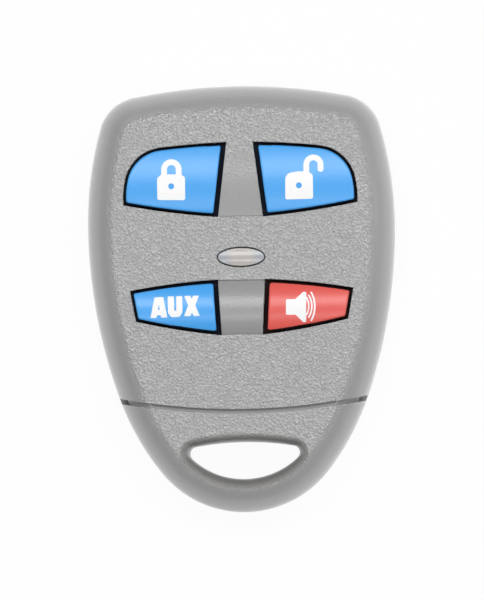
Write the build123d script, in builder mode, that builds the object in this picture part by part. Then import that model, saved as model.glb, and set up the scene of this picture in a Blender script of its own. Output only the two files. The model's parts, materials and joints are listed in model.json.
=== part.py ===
"""Car keyless entry remote: a two-shell key fob with four buttons and a key-ring end.

It lies on its back, buttons up. X is across the fob, Y runs towards the top end and Z rises out of
the face. The origin is on the rear face, under the middle of the outline. All sizes are millimetres.
"""
from build123d import *
from math import cos, radians, sin, sqrt
import os

# Plan outline
fob_length = 60.0
fob_width = 43.2
widest_y = 10.4
top_edge_r = 77.0
top_corner_r = 6.0
upper_side_r = 50.6
waist_width = 34.8
waist_y = -14.0
ring_end_r = 14.85

# Case shells
parting_z = 6.6
face_z = 12.0
case_wall = 1.6
face_wall = 1.4
rear_wall = 1.5
shoulder_r = 5.8
rear_round_r = 4.6
plateau_inset = 3.1
plateau_round_r = 0.2
lip_thickness = 0.75
lip_height = 0.8
fit_gap = 0.05

# Seam between the main front and the key-ring end
seam_y = -15.55
seam_r = 88.0
groove_width = 0.72
groove_depth = 0.9
ledge_thickness = 1.0
ledge_reach = 1.2
ledge_end_gap = 0.15
end_wall = 1.3
tab_width = 4.0
tab_spacing = 12.0
tab_thickness = 1.2
tab_reach = 1.1
tab_z = 7.6
tab_side_gap = 0.1
tab_window_length = 2.6

# Key-ring slot
slot_top_y = -20.1
slot_bottom_y = -25.35
slot_top_r = 39.9
slot_bottom_r = 11.0
slot_corner_r = 1.0
slot_wall = 1.4
flare_depth = 3.6
flare_top = 1.2
flare_bottom = 2.9
flare_bottom_r = 10.2
flare_corner_r = 2.4
flare_steps = 5
rear_flare_depth = 1.6
rear_flare_share = 0.5

# Button windows, right-hand side, mirrored for the left
upper_inner_top = (1.85, 22.0)
upper_inner_bottom = (3.15, 11.45)
upper_outer_bottom = (16.45, 13.3)
upper_side_top = (16.15, 16.9)
upper_top_end = (11.2, 21.35)
upper_top_bulge = 0.1
upper_bottom_bulge = 0.2
lower_inner_top = (3.3, 2.7)
lower_inner_bottom = (2.85, -5.15)
lower_outer_top = (15.7, 1.27)
lower_outer_bottom = (14.9, -3.08)
lower_top_bulge = 0.2
lower_bottom_bulge = 0.2

# Raised barrel forms of the buttons and of the bands between them
upper_barrel_y = 16.0
upper_barrel_r = 17.0
lower_barrel_y = -1.6
lower_barrel_r = 6.8
barrel_rise = 1.0
upper_band_y = 15.4
upper_band_r = 44.0
upper_band_rise = 0.3
band_end_gap = 0.1
lower_band_seat_depth = 0.6

# Button caps
cap_gap = 0.4
cap_inner_gap = 0.65
cap_corner_r = 0.4
cap_edge_r = 0.3
cap_wall = 1.0
cap_roof = 1.1
flange_width = 0.8
flange_thickness = 0.6
flange_gap = 0.03
cap_travel = 0.3
stem_r = 1.4

# Switches, centres of the right-hand pair
upper_switch = (9.6, 16.6)
lower_switch = (9.2, -1.2)
switch_size = 4.5
switch_base_height = 2.3
switch_well_r = 1.9
switch_well_floor = 0.7
dome_r = 1.75
dome_pressed_height = 0.15
dome_thickness = 0.08
plunger_head_r = 1.65
plunger_r = 1.1
plunger_gap = 0.15
plunger_top = 3.1
plate_thickness = 0.15
plate_tab_width = 2.2
plate_tab_length = 1.5
leg_width = 0.6
leg_thickness = 0.15
leg_reach = 1.0
leg_rise = 0.9
leg_spacing = 3.0

# Circuit board
board_thickness = 0.8
board_gap = 0.4
board_end_y = -11.4
board_post_r = 1.3
board_pin_r = 0.6
board_pin_gap = 0.15
upper_post_inset = 6.0
upper_post_y = 7.0
lower_post = (12.0, -7.9)

# Button gasket
gasket_thickness = 0.4
gasket_inset = 1.6
gasket_top_y = 22.3
gasket_bottom_y = -7.2
gasket_hole_gap = 0.6

# Indicator light
lens_y = 5.8
lens_long = 3.3
lens_short = 1.28
lens_gap = 0.1
lens_rise = 0.15
lens_edge_r = 0.3
lens_flange = 0.8
lens_flange_thickness = 0.5
lens_tail = 0.62
led_length = 2.8
led_width = 1.4
led_height = 0.7
led_dome_r = 0.6
led_round_r = 0.48

# Coin cell and its contacts
cell_y = 4.0
cell_r = 10.0
cell_height = 3.2
cell_z = 1.95
cell_can_wall = 0.25
cell_seal_wall = 0.3
cell_cap_r = 8.9
cell_shoulder = 0.5
clip_thickness = 0.25
clip_width = 6.0
clip_gap = 0.1
clip_foot = 2.2
contact_thickness = 0.2
contact_r = 3.0
contact_dimple_r = 1.5
contact_tip_r = 0.75
cell_rib_gap = 0.4
cell_rib_width = 1.0
cell_rib_height = 2.4
cell_rib_length = 11.0

# Parts on the board
encoder_size = (9.9, 3.9, 1.5)
encoder_y = -6.2
encoder_leads = 14
encoder_pitch = 1.27
encoder_lead_width = 0.42
encoder_lead_reach = 1.05
encoder_lead_thickness = 0.2
encoder_body_rise = 0.15
resonator_r = 2.4
resonator_height = 1.4
resonator_y = 17.6
resonator_rim = 0.35
transistor_size = (2.9, 1.3, 1.0)
transistor_place = (0.0, 12.2)
chip_size = (1.6, 0.8, 0.5)
capacitor_height = 0.65
chip_chamfer = 0.15
resistor_rows = 3
resistor_place = (-2.4, 1.4)
capacitor_rows = 3
capacitor_place = (2.4, 1.4)
chip_pitch = 1.4
antenna_width = 1.2
antenna_inset = 0.6
antenna_thickness = 0.035
antenna_end_y = 5.0

# Case screws
upper_screw = (14.0, 24.4)
ring_screw = (11.4, -17.9)
screw_r = 0.9
screw_head_r = 1.7
screw_head_height = 1.1
screw_recess_depth = 1.9
screw_recess_gap = 0.2
screw_hole_gap = 0.15
screw_pilot_gap = 0.02
screw_tip_z = 9.6
screw_slot_width = 0.4
screw_slot_depth = 0.5
boss_r = 2.1
rear_boss_r = 2.5
screw_tip_gap = 0.3

# Bare panel sunk in the rear face
panel_width = 22.0
panel_height = 12.0
panel_y = 4.0
panel_depth = 0.2
panel_corner_r = 1.5

# Heights and half sizes that follow
half_length = fob_length / 2
half_width = fob_width / 2
ceiling_z = face_z - face_wall
board_top_z = parting_z
board_bottom_z = board_top_z - board_thickness
flange_top_z = ceiling_z - flange_gap
flange_bottom_z = flange_top_z - flange_thickness
plunger_top_z = board_top_z + plunger_top
switch_top_z = board_top_z + switch_base_height
gasket_z = switch_top_z + plate_thickness + fit_gap
ledge_top_z = face_z - groove_depth
reach = fob_length
dome_height = cap_travel + dome_pressed_height
overlap = 0.5

os.makedirs("parts", exist_ok=True)


# Outline, shell and slot forms

def circles_meet(first, first_r, second, second_r):
    """The right-hand point where two circles cross."""
    apart = second - first
    span = apart.length
    along = (span**2 + first_r**2 - second_r**2) / (2 * span)
    aside = sqrt(max(first_r**2 - along**2, 0))
    step = apart.normalized()
    one = first + step * along + Vector(-step.Y, step.X) * aside
    other = first + step * along - Vector(-step.Y, step.X) * aside
    return max(one, other, key=lambda point: point.X)


waist_half = waist_width / 2
top_centre = Vector(0, half_length - top_edge_r)
side_centre = Vector(half_width - upper_side_r, widest_y)
corner_centre = circles_meet(
    top_centre, top_edge_r - top_corner_r, side_centre, upper_side_r - top_corner_r
)
waist_narrowing = half_width - waist_half
lower_side_r = (waist_narrowing**2 + (widest_y - waist_y) ** 2) / (2 * waist_narrowing)
lower_centre = Vector(half_width - lower_side_r, widest_y)
end_centre = Vector(0, ring_end_r - half_length)
waist_point = Vector(waist_half, waist_y)
waist_inward = (lower_centre - waist_point).normalized()
waist_to_end = waist_point - end_centre
ring_side_r = (ring_end_r**2 - waist_to_end.dot(waist_to_end)) / (
    2 * (waist_inward.dot(waist_to_end) + ring_end_r)
)
ring_side_centre = waist_point + waist_inward * ring_side_r


def outline(inset=0.0):
    """The plan outline, or its parallel at an inset: tangent arcs on the right, then mirrored."""

    def on_arc(centre, radius, direction):
        return centre + direction.normalized() * (radius - inset)

    apex = Vector(0, half_length - inset)
    corner_start = on_arc(top_centre, top_edge_r, corner_centre - top_centre)
    corner_end = on_arc(side_centre, upper_side_r, corner_centre - side_centre)
    widest = Vector(half_width - inset, widest_y)
    waist = waist_point + waist_inward * inset
    # a longer or wider fob turns the ring side concave, and its radius negative
    end_start = on_arc(end_centre, ring_end_r, (end_centre - ring_side_centre) * ring_side_r)
    foot = Vector(0, inset - half_length)
    with BuildSketch() as plan:
        with BuildLine():
            top = TangentArc(apex, corner_start, tangent=(1, 0))
            corner = TangentArc(corner_start, corner_end, tangent=top % 1)
            side = TangentArc(corner_end, widest, tangent=corner % 1)
            lower = TangentArc(widest, waist, tangent=side % 1)
            ring_side = TangentArc(waist, end_start, tangent=lower % 1)
            TangentArc(end_start, foot, tangent=ring_side % 1)
            mirror(about=Plane.YZ)
        make_face()
    return plan.sketch


def front_form(inset, top_z):
    """The solid under the front skin, drawn in by an inset: rounded shoulder and level top."""
    round_r = shoulder_r - inset
    with BuildPart() as form:
        with BuildSketch(Plane.XY.offset(parting_z - overlap)):
            add(outline(inset))
        extrude(amount=overlap + round_r)
        fillet(form.faces().sort_by(Axis.Z)[-1].edges(), round_r)
        split(bisect_by=Plane.XY.offset(top_z), keep=Keep.BOTTOM)
        split(bisect_by=Plane.XY.offset(parting_z), keep=Keep.TOP)
    return form.part


def rear_form(inset, floor):
    """The solid inside the rear skin, drawn in by an inset, from a floor up to the parting plane."""
    with BuildPart() as form:
        with BuildSketch(Plane.XY.offset(floor)):
            add(outline(inset))
        extrude(amount=parting_z - floor)
        fillet(form.faces().sort_by(Axis.Z)[0].edges(), rear_round_r - max(inset, floor))
    return form.part


def seam_disc(drop):
    """A disc whose lower edge is the seam's arc, moved towards the ring end by a drop."""
    with BuildSketch() as plan:
        with Locations((0, seam_y - drop + seam_r)):
            Circle(seam_r)
    return plan.sketch


def slot_outline(spread=0.0, outset=0.0):
    """The key-ring slot in plan: 0 is the through hole and 1 the outer rim of its flare."""
    bottom_r = slot_bottom_r + (flare_bottom_r - slot_bottom_r) * spread
    bottom_y = slot_bottom_y - flare_bottom * spread
    top_y = slot_top_y + flare_top * spread
    top_r = slot_top_r + flare_top * spread
    corner_r = slot_corner_r + (flare_corner_r - slot_corner_r) * spread
    with BuildSketch() as plan:
        with Locations((0, bottom_y + bottom_r)):
            Circle(bottom_r)
        with Locations((0, top_y - top_r)):
            Circle(top_r, mode=Mode.INTERSECT)
        fillet(plan.vertices(), corner_r)
        if outset > 0:
            offset(amount=outset)
    return plan.sketch


def slot_tool():
    """What the key-ring slot takes out of the case: a through hole that flares at both faces."""
    with BuildPart() as hole:
        with BuildSketch(Plane.XY.offset(-overlap)):
            add(slot_outline())
        extrude(amount=face_z + 2 * overlap)
    with BuildPart() as front_flare:
        for step in range(flare_steps):
            turn = radians(90 * step / (flare_steps - 1))
            with BuildSketch(Plane.XY.offset(face_z - flare_depth + flare_depth * sin(turn))):
                add(slot_outline(1 - cos(turn)))
        loft()
    with BuildPart() as rear_flare:
        for step in range(flare_steps):
            turn = radians(90 * step / (flare_steps - 1))
            with BuildSketch(Plane.XY.offset(rear_flare_depth - rear_flare_depth * sin(turn))):
                add(slot_outline(rear_flare_share * (1 - cos(turn))))
        loft()
    with BuildPart() as tool:
        add(hole.part)
        add(front_flare.part)
        add(rear_flare.part)
    return tool.part


def upper_window():
    """The right-hand upper window in plan."""
    with BuildSketch() as plan:
        with BuildLine():
            top = SagittaArc(upper_inner_top, upper_top_end, -upper_top_bulge)
            corner = TangentArc(upper_top_end, upper_side_top, tangent=top % 1)
            TangentArc(upper_side_top, upper_outer_bottom, tangent=corner % 1)
            SagittaArc(upper_outer_bottom, upper_inner_bottom, -upper_bottom_bulge)
            Line(upper_inner_bottom, upper_inner_top)
        make_face()
    return plan.sketch


def lower_window():
    """The right-hand lower window in plan."""
    with BuildSketch() as plan:
        with BuildLine():
            SagittaArc(lower_inner_top, lower_outer_top, -lower_top_bulge)
            Line(lower_outer_top, lower_outer_bottom)
            SagittaArc(lower_outer_bottom, lower_inner_bottom, -lower_bottom_bulge)
            Line(lower_inner_bottom, lower_inner_top)
        make_face()
    return plan.sketch


def cap_outline(window, sharp_corners):
    """A cap in plan: its window drawn in by the gaps, wider towards the middle, corners rounded."""
    with BuildSketch() as plan:
        add(window)
        offset(amount=-cap_gap, kind=Kind.INTERSECTION)
    with BuildSketch() as cap:
        add(plan.sketch)
        with Locations((cap_inner_gap - cap_gap, 0)):
            add(plan.sketch, mode=Mode.INTERSECT)
        ends = [cap.vertices().sort_by_distance(corner)[0] for corner in sharp_corners]
        fillet(ends, cap_corner_r)
    return cap.sketch


def barrel(middle_y, barrel_r, crest_z):
    """A cylinder along X whose crest stands at a height: the crowned form of a row of buttons."""
    with BuildPart() as form:
        with BuildSketch(Plane.YZ.offset(-reach / 2)):
            with Locations((middle_y, crest_z - barrel_r)):
                Circle(barrel_r)
        extrude(amount=reach)
    return form.part


def band_outline(inner_top, inner_bottom):
    """The strip between the two windows of a row in plan, ending just short of their corners."""
    with BuildSketch() as plan:
        with BuildLine():
            Polyline(
                (inner_top[0] + cap_gap, inner_top[1] - band_end_gap),
                (inner_bottom[0] + cap_gap, inner_bottom[1] + band_end_gap),
                (-inner_bottom[0] - cap_gap, inner_bottom[1] + band_end_gap),
                (-inner_top[0] - cap_gap, inner_top[1] - band_end_gap),
                close=True,
            )
        make_face()
    return plan.sketch


def raised_band(inner_top, inner_bottom, middle_y, band_r, rise):
    """The crowned form between the two windows of a row."""
    with BuildPart() as form:
        with BuildSketch(Plane.XY.offset(ceiling_z)):
            add(band_outline(inner_top, inner_bottom))
        extrude(amount=face_wall + rise)
        add(barrel(middle_y, band_r, face_z + rise), mode=Mode.INTERSECT)
    return form.part


def both_sides(place):
    """A place on the right and its mirror image on the left."""
    return [place, (-place[0], place[1])]


screw_places = both_sides(upper_screw) + both_sides(ring_screw)
upper_post = (half_width - upper_post_inset, upper_post_y)
post_places = both_sides(upper_post) + both_sides(lower_post)
main_end_drop = -(ledge_reach + ledge_end_gap)
key_slot = slot_tool()


# Main front cover: face with four windows, barrel bands, bosses and two tabs at the seam

with BuildPart() as front_cavity:
    add(front_form(case_wall, ceiling_z))
    with BuildSketch(Plane.XY.offset(parting_z - overlap)):
        add(seam_disc(main_end_drop - end_wall))
    extrude(amount=face_z, mode=Mode.INTERSECT)
    with BuildSketch(Plane.XY.offset(parting_z)):
        with Locations(*both_sides(upper_screw)):
            Circle(boss_r)
        with Locations(*post_places):
            Circle(board_post_r)
    extrude(amount=face_z, mode=Mode.SUBTRACT)

with BuildPart() as ledge_recess:
    add(front_form(groove_depth - fit_gap, ledge_top_z + fit_gap))
    with BuildSketch(Plane.XY.offset(parting_z - overlap)):
        add(seam_disc(overlap))
        add(seam_disc(main_end_drop), mode=Mode.SUBTRACT)
    extrude(amount=face_z, mode=Mode.INTERSECT)

with BuildPart() as lip_recess:
    with BuildSketch(Plane.XY.offset(parting_z - overlap)):
        add(outline(case_wall - lip_thickness - fit_gap))
        add(outline(case_wall + fit_gap), mode=Mode.SUBTRACT)
    extrude(amount=overlap + lip_height + fit_gap)

with BuildPart() as plateau:
    with BuildSketch(Plane.XY.offset(ceiling_z)):
        add(outline(plateau_inset))
    extrude(amount=face_wall)
    fillet(plateau.faces().sort_by(Axis.Z)[-1].edges(), plateau_round_r)

upper_band = raised_band(
    upper_inner_top, upper_inner_bottom, upper_band_y, upper_band_r, upper_band_rise
)
lower_band = raised_band(
    lower_inner_top, lower_inner_bottom, lower_barrel_y, lower_barrel_r, barrel_rise
)

with BuildPart() as front_cover:
    add(front_form(0, face_z))
    add(plateau.part)
    with BuildSketch(Plane.XY.offset(parting_z - overlap)):
        add(seam_disc(0))
    extrude(amount=face_z, mode=Mode.INTERSECT)
    add(upper_band)
    with BuildSketch(Plane.XY.offset(face_z - lower_band_seat_depth)):
        add(band_outline(lower_inner_top, lower_inner_bottom))
    extrude(amount=lower_band_seat_depth + overlap, mode=Mode.SUBTRACT)
    add(lower_band)
    add(front_cavity.part, mode=Mode.SUBTRACT)
    add(ledge_recess.part, mode=Mode.SUBTRACT)
    add(lip_recess.part, mode=Mode.SUBTRACT)
    with BuildSketch(Plane.XY.offset(ceiling_z - overlap)):
        for window in (upper_window(), lower_window()):
            add(window)
            mirror(window, about=Plane.YZ)
        with Locations((0, lens_y)):
            Ellipse(lens_long + lens_gap, lens_short + lens_gap)
    extrude(amount=face_z, mode=Mode.SUBTRACT)
    with BuildSketch(Plane.XY.offset(parting_z)):
        with Locations(*both_sides(upper_screw)):
            Circle(screw_r + screw_pilot_gap)
    extrude(amount=screw_tip_z + screw_tip_gap - parting_z, mode=Mode.SUBTRACT)
    tab_back_y = seam_y - main_end_drop + end_wall / 2
    tab_front_y = seam_y - groove_width - tab_reach
    with BuildSketch(Plane.XY.offset(tab_z)):
        with Locations(*both_sides((tab_spacing / 2, (tab_back_y + tab_front_y) / 2))):
            Rectangle(tab_width, tab_back_y - tab_front_y)
    extrude(amount=tab_thickness)
front_cover.part.label = "front_cover"
export_step(front_cover.part, "parts/front_cover.step")


# Ring cover: the front half of the key-ring end, with a ledge that passes under the main front

with BuildPart() as ring_cavity:
    add(front_form(case_wall, ceiling_z))
    with BuildSketch(Plane.XY.offset(parting_z - overlap)):
        add(seam_disc(groove_width + end_wall))
    extrude(amount=face_z, mode=Mode.SUBTRACT)
    with BuildSketch(Plane.XY.offset(parting_z)):
        with Locations(*both_sides(ring_screw)):
            Circle(boss_r)
        add(slot_outline(outset=slot_wall))
    extrude(amount=face_z, mode=Mode.SUBTRACT)

with BuildPart() as ledge:
    add(front_form(groove_depth, ledge_top_z))
    add(front_form(groove_depth + ledge_thickness, ledge_top_z - ledge_thickness), mode=Mode.SUBTRACT)
    with BuildSketch(Plane.XY.offset(parting_z + lip_height + fit_gap)):
        add(seam_disc(groove_width + end_wall / 2))
        add(seam_disc(-ledge_reach), mode=Mode.SUBTRACT)
    extrude(amount=face_z, mode=Mode.INTERSECT)

with BuildPart() as ring_cover:
    add(front_form(0, face_z))
    add(plateau.part)
    with BuildSketch(Plane.XY.offset(parting_z - overlap)):
        add(seam_disc(groove_width))
    extrude(amount=face_z, mode=Mode.SUBTRACT)
    add(ring_cavity.part, mode=Mode.SUBTRACT)
    add(lip_recess.part, mode=Mode.SUBTRACT)
    add(ledge.part)
    add(key_slot, mode=Mode.SUBTRACT)
    with BuildSketch(Plane.XY.offset(parting_z)):
        with Locations(*both_sides(ring_screw)):
            Circle(screw_r + screw_pilot_gap)
    extrude(amount=screw_tip_z + screw_tip_gap - parting_z, mode=Mode.SUBTRACT)
    with BuildSketch(Plane.XY.offset(parting_z)):
        with Locations(*both_sides((tab_spacing / 2, seam_y - groove_width - end_wall / 2))):
            Rectangle(tab_width + 2 * tab_side_gap, tab_window_length)
    extrude(amount=tab_z + tab_thickness + fit_gap - parting_z, mode=Mode.SUBTRACT)
ring_cover.part.label = "ring_cover"
export_step(ring_cover.part, "parts/ring_cover.step")


# Rear cover: full outline, flat back, screw bosses, board posts, cell ribs and a locating lip

with BuildPart() as rear_cavity:
    add(rear_form(case_wall, rear_wall))
    with BuildSketch(Plane.XY):
        with Locations(*screw_places):
            Circle(rear_boss_r)
        add(slot_outline(outset=slot_wall))
    extrude(amount=face_z, mode=Mode.SUBTRACT)
    with BuildSketch(Plane.XY):
        add(seam_disc(end_wall))
        add(seam_disc(0), mode=Mode.SUBTRACT)
    extrude(amount=face_z, mode=Mode.SUBTRACT)
    with BuildSketch(Plane.XY):
        with Locations(*post_places):
            Circle(board_post_r)
    extrude(amount=board_bottom_z, mode=Mode.SUBTRACT)
    with BuildSketch(Plane.XY):
        with Locations((0, cell_y)):
            Circle(cell_r + cell_rib_gap + cell_rib_width)
            Circle(cell_r + cell_rib_gap, mode=Mode.SUBTRACT)
            Rectangle(cell_rib_length, reach, mode=Mode.INTERSECT)
    extrude(amount=rear_wall + cell_rib_height, mode=Mode.SUBTRACT)

with BuildPart() as rear_cover:
    add(rear_form(0, 0))
    add(rear_cavity.part, mode=Mode.SUBTRACT)
    with BuildSketch(Plane.XY.offset(parting_z - overlap)):
        add(outline(case_wall - lip_thickness))
        add(outline(case_wall), mode=Mode.SUBTRACT)
    extrude(amount=overlap + lip_height)
    with BuildSketch(Plane.XY.offset(board_bottom_z)):
        with Locations(*both_sides(lower_post)):
            Circle(board_pin_r)
    extrude(amount=board_thickness - fit_gap)
    add(key_slot, mode=Mode.SUBTRACT)
    with BuildSketch(Plane.XY):
        with Locations(*screw_places):
            Circle(screw_head_r + screw_recess_gap)
    extrude(amount=screw_recess_depth, mode=Mode.SUBTRACT)
    with BuildSketch(Plane.XY):
        with Locations(*screw_places):
            Circle(screw_r + screw_hole_gap)
    extrude(amount=parting_z + overlap, mode=Mode.SUBTRACT)
    with BuildSketch(Plane.XY):
        with Locations((0, panel_y)):
            RectangleRounded(panel_width, panel_height, panel_corner_r)
    extrude(amount=panel_depth, mode=Mode.SUBTRACT)
rear_cover.part.label = "rear_cover"
export_step(rear_cover.part, "parts/rear_cover.step")


# Case screws, driven from the rear

with BuildPart() as case_screws:
    for x, y in screw_places:
        with BuildSketch(Plane.XY.offset(screw_recess_depth - screw_head_height)):
            with Locations((x, y)):
                Circle(screw_head_r)
        extrude(amount=screw_head_height)
        with BuildSketch(Plane.XY.offset(screw_recess_depth)):
            with Locations((x, y)):
                Circle(screw_r)
        extrude(amount=screw_tip_z - screw_recess_depth)
        with BuildSketch(Plane.XY.offset(screw_recess_depth - screw_head_height)):
            with Locations((x, y)):
                Rectangle(2 * screw_r, screw_slot_width)
                Rectangle(screw_slot_width, 2 * screw_r)
        extrude(amount=screw_slot_depth, mode=Mode.SUBTRACT)
case_screws.part.label = "case_screws"
export_step(case_screws.part, "parts/case_screws.step")


# Button caps: crowned top, hollow underside, stem to the switch and a flange under the cover

def button_cap(window, sharp_corners, barrel_y, barrel_r, switch):
    """A right-hand cap."""
    plan = cap_outline(window, sharp_corners)
    with BuildPart() as crown:
        with BuildSketch(Plane.XY.offset(flange_bottom_z)):
            add(plan)
        extrude(amount=face_z + barrel_rise + overlap - flange_bottom_z)
        add(barrel(barrel_y, barrel_r, face_z + barrel_rise), mode=Mode.INTERSECT)
        fillet(crown.faces().sort_by(Axis.Z)[-1].edges(), cap_edge_r)
    with BuildPart() as cap:
        add(crown.part)
        with BuildSketch(Plane.XY.offset(flange_bottom_z)):
            add(window)
            offset(amount=flange_width - cap_gap)
        extrude(amount=flange_thickness)
        with BuildSketch(Plane.XY.offset(flange_bottom_z)):
            add(window)
            offset(amount=-cap_gap - cap_wall, kind=Kind.INTERSECTION)
        extrude(amount=face_z - cap_roof + flange_gap - flange_bottom_z, mode=Mode.SUBTRACT)
        with BuildSketch(Plane.XY.offset(plunger_top_z)):
            with Locations(switch):
                Circle(stem_r)
        extrude(amount=face_z - plunger_top_z)
    return cap.part


upper_cap = button_cap(
    upper_window(),
    (upper_inner_top, upper_inner_bottom, upper_outer_bottom),
    upper_barrel_y,
    upper_barrel_r,
    upper_switch,
)
lower_cap = button_cap(
    lower_window(),
    (lower_inner_top, lower_inner_bottom, lower_outer_bottom, lower_outer_top),
    lower_barrel_y,
    lower_barrel_r,
    lower_switch,
)

with BuildPart() as lock_cap:
    mirror(upper_cap, about=Plane.YZ)
lock_cap.part.label = "lock_cap"
export_step(lock_cap.part, "parts/lock_cap.step")

with BuildPart() as unlock_cap:
    add(upper_cap)
unlock_cap.part.label = "unlock_cap"
export_step(unlock_cap.part, "parts/unlock_cap.step")

with BuildPart() as aux_cap:
    mirror(lower_cap, about=Plane.YZ)
aux_cap.part.label = "aux_cap"
export_step(aux_cap.part, "parts/aux_cap.step")

with BuildPart() as panic_cap:
    add(lower_cap)
panic_cap.part.label = "panic_cap"
export_step(panic_cap.part, "parts/panic_cap.step")


# Switches: moulded base with a well, snap dome, plunger and a folded cover plate

switch_places = {
    "lock": (-upper_switch[0], upper_switch[1]),
    "unlock": upper_switch,
    "aux": (-lower_switch[0], lower_switch[1]),
    "panic": lower_switch,
}
well_z = board_top_z + switch_well_floor
dome_ball_r = (dome_r**2 + dome_height**2) / (2 * dome_height)
dome_top_z = well_z + dome_height

for button, place in switch_places.items():
    with BuildPart() as switch_base:
        with BuildSketch(Plane.XY.offset(board_top_z)):
            with Locations(place):
                Rectangle(switch_size, switch_size)
        extrude(amount=switch_base_height)
        with BuildSketch(Plane.XY.offset(well_z)):
            with Locations(place):
                Circle(switch_well_r)
        extrude(amount=switch_base_height, mode=Mode.SUBTRACT)
    switch_base.part.label = f"{button}_switch_base"
    export_step(switch_base.part, f"parts/{button}_switch_base.step")

    with BuildPart() as dome:
        with BuildSketch(Plane.XZ.offset(-place[1])):
            with Locations((place[0], dome_top_z - dome_ball_r)):
                Circle(dome_ball_r)
                Circle(dome_ball_r - dome_thickness, mode=Mode.SUBTRACT)
            with Locations((place[0], well_z)):
                Rectangle(dome_r, dome_height, align=(Align.MIN, Align.MIN), mode=Mode.INTERSECT)
        revolve(axis=Axis((place[0], place[1], 0), (0, 0, 1)))
    dome.part.label = f"{button}_dome"
    export_step(dome.part, f"parts/{button}_dome.step")

    with BuildPart() as plunger:
        with BuildSketch(Plane.XY.offset(dome_top_z)):
            with Locations(place):
                Circle(plunger_head_r)
        extrude(amount=switch_top_z - fit_gap - dome_top_z)
        with BuildSketch(Plane.XY.offset(dome_top_z)):
            with Locations(place):
                Circle(plunger_r)
        extrude(amount=plunger_top_z - dome_top_z)
    plunger.part.label = f"{button}_plunger"
    export_step(plunger.part, f"parts/{button}_plunger.step")

    with BuildPart() as plate:
        with BuildSketch(Plane.XY.offset(switch_top_z)):
            with Locations(place):
                Rectangle(switch_size + 2 * plate_thickness, switch_size)
                Circle(plunger_r + plunger_gap, mode=Mode.SUBTRACT)
        extrude(amount=plate_thickness)
        with BuildSketch(Plane.XY.offset(switch_top_z - plate_tab_length)):
            with Locations(place):
                Rectangle(switch_size + 2 * plate_thickness, plate_tab_width)
                Rectangle(switch_size, plate_tab_width, mode=Mode.SUBTRACT)
        extrude(amount=plate_tab_length)
    plate.part.label = f"{button}_switch_plate"
    export_step(plate.part, f"parts/{button}_switch_plate.step")

with BuildPart() as switch_legs:
    for x, y in switch_places.values():
        for side in (-1, 1):
            root_y = y + side * switch_size / 2
            with BuildSketch(Plane.XY.offset(board_top_z)):
                with Locations((x, root_y + side * leg_reach / 2)):
                    with GridLocations(leg_spacing, 1, 2, 1):
                        Rectangle(leg_width, leg_reach)
            extrude(amount=leg_thickness)
            with BuildSketch(Plane.XY.offset(board_top_z)):
                with Locations((x, root_y + side * leg_thickness / 2)):
                    with GridLocations(leg_spacing, 1, 2, 1):
                        Rectangle(leg_width, leg_thickness)
            extrude(amount=leg_rise)
switch_legs.part.label = "switch_legs"
export_step(switch_legs.part, "parts/switch_legs.step")


# Button gasket: a soft sheet under the flanges, over the switches

with BuildPart() as button_gasket:
    with BuildSketch(Plane.XY.offset(gasket_z)):
        add(outline(case_wall + gasket_inset))
        with Locations((0, (gasket_top_y + gasket_bottom_y) / 2)):
            Rectangle(reach, gasket_top_y - gasket_bottom_y, mode=Mode.INTERSECT)
        with Locations(*switch_places.values()):
            Circle(stem_r + gasket_hole_gap, mode=Mode.SUBTRACT)
        with Locations(*post_places):
            Circle(board_post_r + gasket_hole_gap, mode=Mode.SUBTRACT)
        with Locations((0, lens_y)):
            Ellipse(
                lens_long * lens_tail + gasket_hole_gap,
                lens_short * lens_tail + gasket_hole_gap,
                mode=Mode.SUBTRACT,
            )
    extrude(amount=gasket_thickness)
button_gasket.part.label = "button_gasket"
export_step(button_gasket.part, "parts/button_gasket.step")


# Indicator lens: an oval light pipe held under the face by its flange

led_top_z = board_top_z + led_height + led_dome_r

with BuildPart() as indicator_lens:
    with BuildSketch(Plane.XY.offset(ceiling_z - lens_flange_thickness)):
        with Locations((0, lens_y)):
            Ellipse(lens_long, lens_short)
    extrude(amount=face_z + lens_rise - ceiling_z + lens_flange_thickness)
    fillet(indicator_lens.faces().sort_by(Axis.Z)[-1].edges(), lens_edge_r)
    with BuildSketch(Plane.XY.offset(ceiling_z - lens_flange_thickness)):
        with Locations((0, lens_y)):
            Ellipse(lens_long + lens_flange, lens_short + lens_flange)
    extrude(amount=lens_flange_thickness)
    with BuildSketch(Plane.XY.offset(led_top_z + fit_gap)):
        with Locations((0, lens_y)):
            Ellipse(lens_long * lens_tail, lens_short * lens_tail)
    extrude(amount=ceiling_z - led_top_z - fit_gap)
indicator_lens.part.label = "indicator_lens"
export_step(indicator_lens.part, "parts/indicator_lens.step")

with BuildPart() as indicator_led:
    with BuildSketch(Plane.XY.offset(board_top_z)):
        with Locations((0, lens_y)):
            Rectangle(led_length, led_width)
    extrude(amount=led_height)
    with BuildSketch(Plane.XY.offset(board_top_z + led_height)):
        with Locations((0, lens_y)):
            Circle(led_dome_r)
    extrude(amount=led_dome_r)
    fillet(indicator_led.faces().sort_by(Axis.Z)[-1].edges(), led_round_r)
indicator_led.part.label = "indicator_led"
export_step(indicator_led.part, "parts/indicator_led.step")


# Circuit board, notched round the upper bosses and holed for the locating pins

with BuildPart() as circuit_board:
    with BuildSketch(Plane.XY.offset(board_bottom_z)):
        add(outline(case_wall + board_gap))
        with Locations((0, board_end_y)):
            Rectangle(reach, reach, align=(Align.CENTER, Align.MIN), mode=Mode.INTERSECT)
        with Locations(*both_sides(upper_screw)):
            Circle(rear_boss_r + board_gap, mode=Mode.SUBTRACT)
        with Locations(*both_sides(lower_post)):
            Circle(board_pin_r + board_pin_gap, mode=Mode.SUBTRACT)
    extrude(amount=board_thickness)
circuit_board.part.label = "circuit_board"
export_step(circuit_board.part, "parts/circuit_board.step")

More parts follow.
